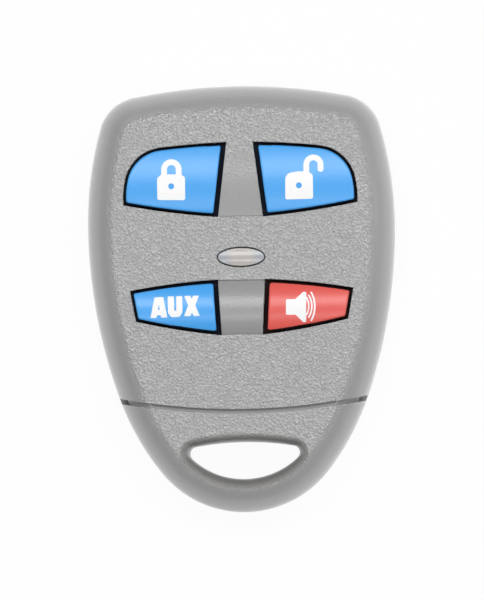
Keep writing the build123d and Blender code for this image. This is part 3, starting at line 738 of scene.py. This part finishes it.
def crown(piece, barrel, above_z, proud=0.0):
    """Bends the top of the piece down from the barrel's crest, as its cylinder falls away."""
    middle_y, radius = barrel[:2]
    for vertex in piece.data.vertices:
        if vertex.co.z > above_z * mm:
            off = vertex.co.y / mm - middle_y
            vertex.co.z -= (radius - sqrt(radius**2 - off**2) - proud) * mm


def both(*places):
    """The places given for the right-hand side, and the same on the left."""
    return [*places, *[(-x, y) for x, y in places]]


def band_plan(ends):
    """The strip between the two windows of a row, a little wider than the web between them."""
    (top_x, top_y), (bottom_x, bottom_y) = ends
    half_top, half_bottom = top_x + band_spread, bottom_x + band_spread
    return [(-half_bottom, bottom_y), (half_bottom, bottom_y), (half_top, top_y), (-half_top, top_y)]


def band(name, ends, barrel):
    """The raised strip between the two windows of a row."""
    foot_z = ceiling_z + band_foot
    piece = prism(name, band_plan(ends), foot_z, barrel[2])
    slice_along_y(piece, slice_step)
    crown(piece, barrel, foot_z + level_slack)
    return piece


def pierce(piece, places, radius, low, high):
    """Takes a round bar out of the piece at each place."""
    for place in places:
        cut(piece, disc("bar", place, radius, low, high))


def front_skin(name):
    """The whole front form, cut level at the parting plane."""
    piece = shoulder_form(name, 0.0, face_z, parting_z - overrun, plateau=True)
    return trim_below(piece, parting_z)


upper_right, lower_right = upper_window(), lower_window()

# Where the main front ends above the seam's arc, as a drop from it
main_end = -ledge_reach - ledge_gap

front_cover = front_skin("front_cover_skin")
ring_cover = front_skin("ring_cover_skin")

combine(front_cover, band("upper_band", upper_ends, upper_band_barrel), "UNION")
lower_seat = prism("lower_seat", band_plan(lower_ends), lower_seat_z, face_z + overrun)
cut(front_cover, lower_seat)
combine(front_cover, band("lower_band", lower_ends, lower_barrel), "UNION")
combine(front_cover, seam_side("seam_above", 0.0), "INTERSECT")
front_cavity = shoulder_form("front_cavity", case_wall, ceiling_z, parting_z - overrun)
combine(front_cavity, seam_side("cavity_end", main_end - end_wall), "INTERSECT")
pierce(front_cavity, both(upper_screw), boss_r, parting_z, face_z)
pierce(front_cavity, both(upper_post, lower_post), post_r, parting_z, face_z)
cut(front_cover, front_cavity)
recess_inset, recess_top = groove_depth - fit_gap, face_z - groove_depth + fit_gap
ledge_recess = shoulder_form("ledge_recess", recess_inset, recess_top, parting_z - overrun)
combine(ledge_recess, seam_side("recess_end", main_end, above=False), "INTERSECT")
cut(front_cover, ledge_recess)
for points in (upper_right, flipped(upper_right), lower_right, flipped(lower_right)):
    window_cutter = prism("window_cutter", points, ceiling_z - overrun, above_all_z)
    cut(front_cover, window_cutter)
lens_hole = oval((0, lens_y), lens_long + lens_gap, lens_short + lens_gap)
lens_cutter = prism("lens_cutter", lens_hole, ceiling_z - overrun, face_z + overrun)
cut(front_cover, lens_cutter)
pierce(front_cover, both(upper_screw), pilot_r, parting_z - overrun, pilot_end_z)
soften(front_cover)

slot = slot_cutter()
slot_wall_points = slot_ring(slot_wall_share)
combine(ring_cover, seam_side("seam_below", groove_width, above=False), "INTERSECT")
ring_cavity = shoulder_form("ring_cavity", case_wall, ceiling_z, parting_z - overrun)
combine(ring_cavity, seam_side("ring_cavity_end", groove_width + end_wall, above=False), "INTERSECT")
pierce(ring_cavity, both(ring_screw), boss_r, parting_z, face_z)
slot_wall = prism("slot_wall", slot_wall_points, parting_z - 2 * overrun, face_z)
cut(ring_cavity, slot_wall)
cut(ring_cover, ring_cavity)
ledge_top_z = face_z - groove_depth
ledge = shoulder_form("ledge", groove_depth, ledge_top_z, parting_z - fit_gap)
ledge_hollow = shoulder_form(
    "ledge_hollow", groove_depth + ledge_thickness, ledge_top_z - ledge_thickness, parting_z - 2 * overrun
)
cut(ledge, ledge_hollow)
combine(ledge, seam_side("ledge_below", groove_width + end_wall / 2), "INTERSECT")
combine(ledge, seam_side("ledge_above", -ledge_reach, above=False), "INTERSECT")
ledge_foot = block("ledge_foot", (0, 0), far_span, far_span, 0, parting_z + lip_height + fit_gap)
cut(ledge, ledge_foot)
combine(ring_cover, ledge, "UNION")
cut(ring_cover, slot, keep_other=True)
round_slot_crest(ring_cover)
pierce(ring_cover, both(ring_screw), pilot_r, parting_z - overrun, pilot_end_z)
soften(ring_cover)

rear_cover = rear_form("rear_cover_skin", 0.0, 0.0)
rear_cavity = rear_form("rear_cavity", case_wall, rear_wall)
end_face(take(rear_cavity), up=True)
raise_face(overrun)
closed(rear_cavity)
pierce(rear_cavity, both(upper_screw, ring_screw), rear_boss_r, 0, face_z)
cut(rear_cavity, prism("slot_wall", slot_wall_points, 0, face_z))
divider = seam_side("divider", end_wall)
combine(divider, seam_side("divider_end", 0.0, above=False), "INTERSECT")
cut(rear_cavity, divider)
pierce(rear_cavity, both(upper_post, lower_post), post_r, 0, board_bottom_z)
cell_place = (0, cell_y)
cell_ribs = disc("cell_ribs", cell_place, cell_rib_r + cell_rib_width, 0, rear_wall + cell_rib_height)
pierce(cell_ribs, [cell_place], cell_rib_r, -overrun, face_z)
rib_ends = block("rib_ends", cell_place, cell_rib_length, far_span, -overrun, face_z)
combine(cell_ribs, rib_ends, "INTERSECT")
cut(rear_cavity, cell_ribs)
cut(rear_cover, rear_cavity)
for place in both(lower_post):
    pin = disc("pin", place, pin_r, board_bottom_z - overrun, parting_z - fit_gap)
    combine(rear_cover, pin, "UNION")
cut(rear_cover, slot)
for place in both(upper_screw, ring_screw):
    pierce(rear_cover, [place], screw_head_r, -overrun, screw_recess)
    pierce(rear_cover, [place], screw_hole_r, -overrun, face_z)
panel_points = rounded_each(box_plan((0, panel_y), *panel_size), [panel_corner] * 4, steps=8)
cut(rear_cover, prism("panel_cutter", panel_points, -overrun, panel_depth))
soften(rear_cover)


# Button caps

def cap(name, window, barrel, switch, left=False):
    """A crowned cap with a rounded rim, a flange under the cover and a stem to its switch."""
    side = flipped if left else list
    plan = side(rounded(parallel(window, cap_gap, cap_inner_gap), cap_corner))
    piece = start(name, plan, cap_foot_z)
    raise_face(barrel[2] - cap_edge - cap_foot_z)
    outward_end(piece)
    round_over(cap_edge, 0, 90, 5)
    closed(piece)
    slice_along_y(piece, slice_step)
    crown(piece, barrel, flange_top_z)
    rim = side(rounded(parallel(window, -flange_spread), cap_corner))
    combine(piece, prism("flange", rim, flange_bottom_z, flange_top_z), "UNION")
    inset = cap_gap + cap_wall
    hollow = side(parallel(cleared(window, 2 * inset), inset))
    cut(piece, prism("pocket", hollow, flange_bottom_z - overrun / 2, roof_z))
    place = (-switch[0] if left else switch[0], switch[1])
    combine(piece, disc("stem", place, stem_r, plunger_top_z, roof_z + stem_root), "UNION")
    return soften(piece, width=0, angle=40)


lock_cap = cap("lock_button", upper_right, upper_barrel, upper_switch, left=True)
unlock_cap = cap("unlock_button", upper_right, upper_barrel, upper_switch)
aux_cap = cap("aux_button", lower_right, lower_barrel, lower_switch, left=True)
panic_cap = cap("panic_button", lower_right, lower_barrel, lower_switch)


# Indicator lens

def lens_rings():
    """Plan rings up the lens: straight sides, a rounded rim, then a low crown over the middle."""
    middle = (0, lens_y)
    rings = [(oval(middle, lens_long, lens_short), ceiling_z - lens_flange_thickness / 2)]
    rim_z = face_z + lens_rise - lens_crown
    for index in range(6):
        turn = pi / 2 * index / 5
        inset = lens_edge * (1 - cos(turn))
        ring = oval(middle, lens_long - inset, lens_short - inset)
        rings.append((ring, rim_z - lens_edge * (1 - sin(turn))))
    for share in (0.85, 0.65, 0.45, 0.25, 0.1):
        ring = oval(middle, (lens_long - lens_edge) * share, (lens_short - lens_edge) * share)
        rings.append((ring, rim_z + lens_crown * (1 - share**2)))
    return rings


lens = loft("lens_window", lens_rings())
flange_ring = oval((0, lens_y), lens_long + lens_flange, lens_short + lens_flange)
combine(lens, prism("lens_flange", flange_ring, ceiling_z - lens_flange_thickness, ceiling_z), "UNION")
tail_ring = oval((0, lens_y), lens_long * lens_tail, lens_short * lens_tail)
combine(lens, prism("lens_tail", tail_ring, lens_tail_z, ceiling_z - lens_tail_root), "UNION")
soften(lens, width=0, angle=50)


# Legends: thin inked shapes that follow the barrel of their cap

def legend(name, shapes, holes, barrel):
    """Filled plan shapes less their holes, laid on a cap's barrel."""
    whole = None
    for points in shapes:
        piece = prism(name, points, barrel[2] - ink_root, barrel[2])
        whole = piece if whole is None else combine(whole, piece, "UNION")
    for points in holes:
        hole = prism("hole", points, barrel[2] - overrun, barrel[2] + overrun)
        cut(whole, hole)
    whole.name = whole.data.name = name
    slice_along_y(whole, ink_slice_step)
    crown(whole, barrel, 0, proud=ink)
    closed(whole)
    take(whole)
    bpy.ops.object.shade_smooth_by_angle(angle=radians(20))
    return whole


def dot(x, y, radius):
    """A small round shape."""
    return oval((x, y), radius, radius, 24)


def arc(x, y, radius, first, last, steps=16):
    """Points round a centre, from one angle in degrees to another."""
    turns = [radians(first + (last - first) * index / steps) for index in range(steps + 1)]
    return [(x + radius * cos(turn), y + radius * sin(turn)) for turn in turns]


def arc_stroke(x, y, radius, first, last, width):
    """A curved bar of even width round a centre, from one angle to another."""
    outer_r, inner_r = radius + width / 2, radius - width / 2
    return arc(x, y, outer_r, first, last) + arc(x, y, inner_r, last, first)


def shackle(left, right, width, top, foot_left, foot_right):
    """The bow of a padlock: two legs and a round top."""
    middle, outer_r = (left + right) / 2, (right - left) / 2
    spring = top - outer_r
    outer = arc(middle, spring, outer_r, 0, 180)
    inner = arc(middle, spring, outer_r - width, 180, 0)
    left_foot = [(left, foot_left), (left + width, foot_left)]
    return [(right, foot_right), *outer, *left_foot, *inner, (right - width, foot_right)]


closed_lock = legend(
    "closed_lock_mark",
    [
        rounded_each(
            [(-11.6, 13.94), (-7.7, 13.86), (-7.68, 17.1), (-8.3, 17.5), (-11.0, 17.5), (-11.6, 17.0)],
            [0.3, 0.3, 0.45, 0.3, 0.3, 0.5],
        ),
        shackle(-11.0, -8.16, 0.8, 19.64, 17.2, 17.2),
    ],
    [dot(-9.64, 15.84, 0.42)],
    upper_barrel,
)
open_lock = legend(
    "open_lock_mark",
    [
        rounded_each(
            [(6.36, 13.74), (10.26, 13.8), (10.26, 17.2), (9.5, 17.66), (8.2, 17.66), (6.4, 17.4)],
            [0.25, 0.3, 0.6, 0.3, 0.4, 1.1],
        ),
        shackle(8.96, 11.76, 0.8, 20.0, 17.4, 17.95),
        dot(11.36, 17.95, 0.4),
    ],
    [dot(8.28, 15.7, 0.42)],
    upper_barrel,
)
letters = legend(
    "aux_mark",
    [
        rounded_each(
            [(-12.82, -2.6), (-11.98, -2.6), (-11.86, -2.24), (-11.4, -2.22),
             (-11.3, -2.56), (-10.44, -2.56), (-11.0, 0.33), (-12.2, 0.3)],
            [0.08, 0.08, 0, 0, 0.08, 0.08, 0.15, 0.15],
        ),
        rounded_each(
            [(-10.36, 0.38), (-9.5, 0.4), (-9.46, -1.62), (-9.18, -1.62), (-9.16, 0.4),
             (-8.32, 0.42), (-8.32, -1.9), (-8.75, -2.5), (-9.9, -2.52), (-10.34, -1.95)],
            [0.12, 0.12, 0.12, 0.12, 0.12, 0.12, 0.5, 0.35, 0.35, 0.5],
        ),
        rounded_each(
            [(-8.04, 0.42), (-7.2, 0.45), (-7.0, 0.02), (-6.8, 0.45), (-5.98, 0.45), (-6.5, -0.9),
             (-5.88, -2.4), (-6.72, -2.42), (-6.98, -1.94), (-7.22, -2.42), (-8.12, -2.42), (-7.5, -0.9)],
            [0.08, 0.08, 0, 0.08, 0.08, 0.05, 0.08, 0.08, 0, 0.08, 0.08, 0.05],
        ),
    ],
    [rounded([(-11.72, -1.5), (-11.5, -1.5), (-11.58, -0.8), (-11.66, -0.8)], 0.04)],
    lower_barrel,
)
speaker = legend(
    "sounder_mark",
    [
        rounded_each(
            [(6.2, -2.42), (7.55, -2.44), (8.6, -3.5), (9.02, -3.5),
             (9.1, 0.74), (8.66, 0.76), (7.56, -0.25), (6.22, -0.25)],
            [0.15, 0, 0.1, 0.15, 0.15, 0.1, 0, 0.15],
        ),
        arc_stroke(6.9, -1.22, 2.52, -30.5, 29.5, 0.2),
        arc_stroke(6.95, -1.24, 2.9, -34.5, 32.5, 0.22),
        arc_stroke(6.1, -1.26, 4.16, -30, 28.5, 0.24),
    ],
    [],
    lower_barrel,
)


# Finishes

def wired(name):
    """A new material, its node tree and its main shader."""
    material = bpy.data.materials.new(name)
    material.use_nodes = True
    tree = material.node_tree
    return material, tree, tree.nodes["Principled BSDF"]


def feed(tree, step, inputs):
    """Sets each input of a node to its value, or links it to its socket, and gives the outputs."""
    for name, value in inputs.items():
        if isinstance(value, bpy.types.NodeSocket):
            tree.links.new(value, step.inputs[name])
        else:
            step.inputs[name].default_value = value
    return step.outputs


def added(tree, kind, inputs, **settings):
    """The outputs of a new node with these settings and inputs."""
    step = tree.nodes.new(kind)
    for setting, choice in settings.items():
        setattr(step, setting, choice)
    return feed(tree, step, inputs)


def worked_out(tree, operation, *values):
    """A math node's result from its values, each a socket or a number."""
    return added(tree, "ShaderNodeMath", dict(enumerate(values)), operation=operation)["Value"]


def place_along(tree, place, axis):
    """The place along one object axis, in metres."""
    return added(tree, "ShaderNodeSeparateXYZ", {"Vector": place})[axis]


def blended(tree, value, low, high):
    """A share that rises smoothly from 0 to 1 between two levels in millimetres."""
    ends = {"Value": value, "From Min": low * mm, "From Max": high * mm}
    return added(tree, "ShaderNodeMapRange", ends, interpolation_type="SMOOTHSTEP")["Result"]


def scaled(tree, share, low):
    """The same share, but from a low value up to 1."""
    return added(tree, "ShaderNodeMapRange", {"Value": share, "To Min": low})["Result"]


# What is left of the grain's height where a finish fades to smooth
smooth_relief = 0.12


def moulded(
    name, colour, roughness, fleck=0.05, fleck_size=0.5, grain=0.0, grain_size=0.3,
    metal=0.0, gloss=0.5, sheen=0.0, fade=None, painted_shade_scale=1.0,
):
    """A finish with slight colour drift and a fine surface grain, both in real sizes.

    A fade (axis, low, high) flattens the grain and darkens the colour below its low level; the darkening is
    painted shade.
    """
    material, tree, shader = wired(name)
    feed(tree, shader, {
        "Roughness": roughness, "Metallic": metal, "Specular IOR Level": gloss,
        "Sheen Weight": sheen, "Sheen Roughness": 0.5,
    })
    place = added(tree, "ShaderNodeTexCoord", {})["Object"]
    flecks = {"Vector": place, "Scale": 1 / (fleck_size * mm), "Detail": 3.0}
    drift = added(tree, "ShaderNodeTexNoise", flecks)["Fac"]
    shades = tree.nodes.new("ShaderNodeValToRGB")
    base = tint(*colour)
    for stop, level, share in zip(shades.color_ramp.elements, (0.3, 0.7), (1 - fleck, 1 + fleck)):
        stop.position = level
        stop.color = (*[min(1, channel * share) for channel in base[:3]], 1)
    paint = feed(tree, shades, {"Fac": drift})["Color"]
    strength = 1.0
    if fade:
        axis, low, high = fade
        share = blended(tree, place_along(tree, place, axis), low, high)
        strength = scaled(tree, share, smooth_relief)
        # Painted shade: the colour scaled down where the fade is low
        painted_shade_inputs = {0: paint, "Scale": scaled(tree, share, painted_shade_scale)}
        paint = added(tree, "ShaderNodeVectorMath", painted_shade_inputs, operation="SCALE")["Vector"]
    feed(tree, shader, {"Base Color": paint})
    if grain:
        cells = {"Vector": place, "Scale": 1 / (grain_size * mm)}
        relief = added(tree, "ShaderNodeTexVoronoi", cells, feature="SMOOTH_F1")["Distance"]
        bump = {"Height": relief, "Strength": strength, "Distance": grain * mm}
        feed(tree, shader, {"Normal": added(tree, "ShaderNodeBump", bump)["Normal"]})
    return material


# Each finish: colour, roughness, colour drift and its size, height of the grain and its size
front_grain = (0.3, 0.025, 0.4, 0.16, 0.28)
# The front's shoulder, below the grained face, is painted slightly darker: painted shade
grey_front = moulded(
    "grey_front_plastic", (160, 160, 160), *front_grain, gloss=0.9, sheen=1.0,
    fade=("Z", 11.3, 11.95), painted_shade_scale=0.97,
)
# The bands are painted slightly darker below the upper band's crest: painted shade
grey_band = moulded(
    "grey_band_plastic", (160, 160, 160), *front_grain, gloss=0.6, sheen=0.6,
    fade=("Y", 15.5, 21.9), painted_shade_scale=0.96,
)
grey_grained = moulded("grey_grained_plastic", (162, 162, 162), 0.4, 0.03, 0.4, 0.1, 0.32)
grey_satin = moulded("grey_satin_plastic", (166, 166, 166), 0.4, 0.03, 1.2, 0.012, 0.5, gloss=0.6, sheen=0.5)
# A darker grey on the seam ledge's top: painted shade in the groove
ledge_shade_paint = moulded("grey_ledge_painted_shade", (146, 146, 146), 0.5, 0.03, 1.2, 0.012, 0.5)
# The slot's flare walls, front and rear, are painted darker deeper into the slot, down to 0.6 of their
# colour: painted shade
slot_wall_shade_paint, rear_slot_shade_paint = [
    moulded(name, (160, 159, 157), *front_grain, gloss=0.5, sheen=0.3, fade=fade, painted_shade_scale=0.6)
    for name, fade in (
        ("slot_wall_painted_shade", ("Z", 10.4, 11.75)),
        ("rear_slot_painted_shade", ("Z", 1.3, 0.2)),
    )
]
blue_plastic = moulded("blue_cap_plastic", (76, 171, 246), 0.3, 0.015, 1.2, 0.004, 0.4)
red_plastic = moulded("red_cap_plastic", (233, 97, 89), 0.3, 0.015, 1.2, 0.004, 0.4)
# Dark blue and dark red: painted shade on the caps' flanges and sides, seen deep in the gaps
blue_painted_shade = moulded("blue_cap_painted_shade", (16, 24, 42), 0.7, 0.05, 0.8, gloss=0.2)
red_painted_shade = moulded("red_cap_painted_shade", (40, 18, 16), 0.7, 0.05, 0.8, gloss=0.2)
white_ink = moulded("white_ink", (252, 252, 252), 0.5, 0.01, 0.6)
# Dark grey on the lens's rounded rim: painted shade in the gap round the lens
lens_rim_shade_paint = moulded("lens_rim_painted_shade", (84, 84, 80), 0.3, 0.05, 0.5)
lens_clear = moulded("lens_clear_plastic", (193, 188, 183), 0.15, 0.03, 0.9)


def cooler_ends(material, colour, near, far):
    """Turns a finish towards a second colour as it runs out along X to both sides."""
    tree = material.node_tree
    paint = tree.nodes["Principled BSDF"].inputs["Base Color"]
    place = tree.nodes["Texture Coordinate"].outputs["Object"]
    aside = worked_out(tree, "ABSOLUTE", place_along(tree, place, "X"))
    share = blended(tree, aside, near, far)
    both_colours = {"Fac": share, "Color1": paint.links[0].from_socket, "Color2": tint(*colour)}
    tree.links.new(added(tree, "ShaderNodeMixRGB", both_colours)["Color"], paint)


cooler_ends(lens_clear, (173, 177, 183), 1.0, 2.4)

slot_finishes = {
    "case_plastic": grey_satin,
    "blue_cap": blue_plastic,
    "red_cap": red_plastic,
    "screw_steel": moulded("screw_zinc", (176, 178, 182), 0.3, 0.06, 0.4, 0.004, 0.1, metal=1.0),
    "silicone": moulded("black_silicone", (34, 34, 36), 0.6, 0.05, 0.8, 0.006, 0.2),
    "lens_plastic": lens_clear,
    "led_resin": moulded("led_resin", (214, 190, 184), 0.15, 0.03, 0.5),
    "board_laminate": moulded("board_laminate", (38, 92, 58), 0.45, 0.08, 0.5, 0.01, 0.4),
    "copper": moulded("tinned_copper", (196, 148, 98), 0.35, 0.05, 0.5, 0.004, 0.2, metal=1.0),
    "chip_epoxy": moulded("chip_epoxy", (36, 36, 38), 0.55, 0.05, 0.3, 0.01, 0.15),
    "chip_ceramic": moulded("chip_ceramic", (176, 158, 128), 0.5, 0.05, 0.3, 0.006, 0.15),
    "tinned_metal": moulded("tinned_metal", (188, 190, 192), 0.3, 0.05, 0.4, 0.004, 0.15, metal=1.0),
    "cell_steel": moulded("cell_steel", (196, 198, 200), 0.25, 0.03, 1.0, 0.003, 0.2, metal=1.0),
    "cell_seal_plastic": moulded("cell_seal_plastic", (60, 60, 64), 0.5, 0.05, 0.5),
    "pellet": moulded("pellet", (90, 90, 92), 0.7, 0.08, 0.4, 0.01, 0.2),
    "plunger_plastic": moulded("plunger_plastic", (40, 40, 42), 0.45, 0.05, 0.4, 0.004, 0.2),
    "switch_plastic": moulded("switch_plastic", (44, 44, 46), 0.5, 0.05, 0.4, 0.004, 0.2),
}
for part in frame["record"]["subparts"]:
    node = frame["nodes"][part["node"]]
    node.data.materials.clear()
    node.data.materials.append(slot_finishes[part["material_slot"]])


def finish_with(piece, first, *others):
    """Gives the piece its finish, and each other finish to the faces that pass the test beside it."""
    piece.data.materials.clear()
    for material in (first, *[material for material, wanted in others]):
        piece.data.materials.append(material)
    for face in piece.data.polygons:
        face.material_index = 0
        for index, (material, wanted) in enumerate(others):
            if wanted(face.center / mm, face.normal):
                face.material_index = index + 1


finished_share = 0.97
slot_rim, rear_slot_rim = slot_ring(finished_share), slot_ring(rear_flare_share * finished_share)
slot_middle = Vector((0, (slot_top_y + slot_bottom_y) / 2))
band_reaches = ((11.3, 22.0), (lower_ends[1][1], lower_ends[0][1]))
band_half_width = 3.7
panel_side_z = 0.4

# How much of a face's normal points up, or down at the rear, where it belongs to such a part
ledge_facing = 0.95
rear_facing = 0.9
rim_facing = 0.8
top_facing = 0.6


def in_slot(rim, middle, normal):
    """Whether a face within the rim looks towards the middle of the slot."""
    return normal.xy.dot(slot_middle - middle.xy) > 0 and within(rim, middle)


# Flare faces in the slot, at the front and at the rear, which take the painted shade
def in_slot_shade(middle, normal):
    return in_slot(slot_rim, middle, normal)


def in_rear_slot_shade(middle, normal):
    return in_slot(rear_slot_rim, middle, normal)


def on_rear_flat(middle, normal):
    return middle.z < panel_side_z and normal.z < -rear_facing


# The lens's rounded rim, which takes the painted shade
def on_lens_rim_shade(middle, normal):
    return middle.z > ceiling_z and normal.z < rim_facing


def on_band(middle, normal):
    beside = any(low < middle.y < high for low, high in band_reaches)
    return beside and abs(middle.x) < band_half_width and normal.z > top_facing


# The seam ledge's top, which takes the painted shade
def on_ledge_shade(middle, normal):
    return abs(middle.z - ledge_top_z) < level_slack and normal.z > ledge_facing


# Faces low on a cap or steep on its rim, which take the painted shade
def in_cap_painted_shade(middle, normal):
    return middle.z < painted_shade_z or normal.z < top_facing


finish_with(front_cover, grey_front, (grey_band, on_band))
finish_with(ring_cover, grey_front, (ledge_shade_paint, on_ledge_shade), (slot_wall_shade_paint, in_slot_shade))
finish_with(rear_cover, grey_satin, (grey_grained, on_rear_flat), (rear_slot_shade_paint, in_rear_slot_shade))
for piece in (lock_cap, unlock_cap, aux_cap):
    finish_with(piece, blue_plastic, (blue_painted_shade, in_cap_painted_shade))
finish_with(panic_cap, red_plastic, (red_painted_shade, in_cap_painted_shade))
for mark in (closed_lock, open_lock, letters, speaker):
    finish_with(mark, white_ink)
finish_with(lens, lens_clear, (lens_rim_shade_paint, on_lens_rim_shade))


# What moves with what, and which CAD node each piece stands for, if any

riders = (
    (front_cover, "case", "case_plastic", "front_cover"),
    (ring_cover, "case", "case_plastic", "ring_cover"),
    (rear_cover, "case", "case_plastic", "rear_cover"),
    (lens, "case", "lens_plastic", "indicator_lens"),
    (lock_cap, "lock_button", "blue_cap", "lock_cap"),
    (unlock_cap, "unlock_button", "blue_cap", "unlock_cap"),
    (aux_cap, "aux_button", "blue_cap", "aux_cap"),
    (panic_cap, "panic_button", "red_cap", "panic_cap"),
    (closed_lock, "lock_button", "blue_cap", None),
    (open_lock, "unlock_button", "blue_cap", None),
    (letters, "aux_button", "blue_cap", None),
    (speaker, "panic_button", "red_cap", None),
)
for piece, body, finish, node in riders:
    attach(piece, body)
    if node:
        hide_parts(node)


# Floor, light and camera

floor_reach = 1800
floor_white = 0.92
floor_glow = 0.95

floor = block("floor", (0, 0), floor_reach, floor_reach, -2.0, 0.0)
floor_paint, floor_tree, floor_shader = wired("floor_paint")
white = (floor_white, floor_white, floor_white, 1)
feed(floor_tree, floor_shader, {"Base Color": white, "Roughness": 0.9})
glow = added(floor_tree, "ShaderNodeEmission", {"Strength": 1.0})["Emission"]
sight = added(floor_tree, "ShaderNodeLightPath", {})
in_sight = worked_out(floor_tree, "MAXIMUM", sight["Is Camera Ray"], sight["Is Glossy Ray"])
in_sight = worked_out(floor_tree, "MAXIMUM", in_sight, sight["Is Transmission Ray"])
glow_share = worked_out(floor_tree, "MULTIPLY", in_sight, floor_glow)
lit = {"Fac": glow_share, 1: floor_shader.outputs["BSDF"], 2: glow}
floor_surface = added(floor_tree, "ShaderNodeMixShader", lit)["Shader"]
feed(floor_tree, floor_tree.nodes["Material Output"], {"Surface": floor_surface})
finish_with(floor, floor_paint)

world = bpy.data.worlds.new("light_tent")
bpy.context.scene.world = world
world.use_nodes = True
backdrop = world.node_tree.nodes["Background"]
feed(world.node_tree, backdrop, {"Color": (1, 1, 1, 1), "Strength": 0.12})


def softbox(name, place, width, height, power):
    """A rectangular lamp that faces the middle of the object; sizes in metres, power in watts."""
    lamp = bpy.data.lights.new(name, "AREA")
    lamp.shape = "RECTANGLE"
    lamp.size, lamp.size_y = width, height
    lamp.energy = power
    holder = bpy.data.objects.new(name, lamp)
    bpy.context.scene.collection.objects.link(holder)
    holder.location = place
    holder.rotation_euler = Vector(place).to_track_quat("Z", "Y").to_euler()


softbox("north_box", (0, 0.22, 0.6), 0.7, 0.21, 2.77)
softbox("south_box", (0, -0.166, 0.6), 0.7, 0.09, 0.99)
softbox("east_box", (0.5, 0.05, 0.42), 0.15, 0.5, 0.59)

# Camera: a long way off, a little to the south-east of straight above; sizes in millimetres
camera_distance = 1800.0
frame_height = 84.47
target = Vector((-0.067, -0.136, parting_z))
tilt_east, tilt_south = radians(1.2), radians(1.2)
roll = radians(0.85)
back = Vector((sin(tilt_east), -sin(tilt_south), 1.0)).normalized()
sight_up = Vector((sin(roll), cos(roll), 0))
across = sight_up.cross(back).normalized()
upright = back.cross(across)
camera_data = bpy.data.cameras.new("camera")
camera_data.sensor_width = 36.0
camera_data.lens = camera_data.sensor_width * camera_distance / frame_height
camera_data.clip_start, camera_data.clip_end = 0.05, 10.0
camera = bpy.data.objects.new("camera", camera_data)
bpy.context.scene.collection.objects.link(camera)
turned = Matrix((across, upright, back)).transposed().to_4x4()
camera.matrix_world = Matrix.Translation((target + back * camera_distance) * mm) @ turned
bpy.context.scene.camera = camera
bpy.context.scene.view_settings.view_transform = "Standard"
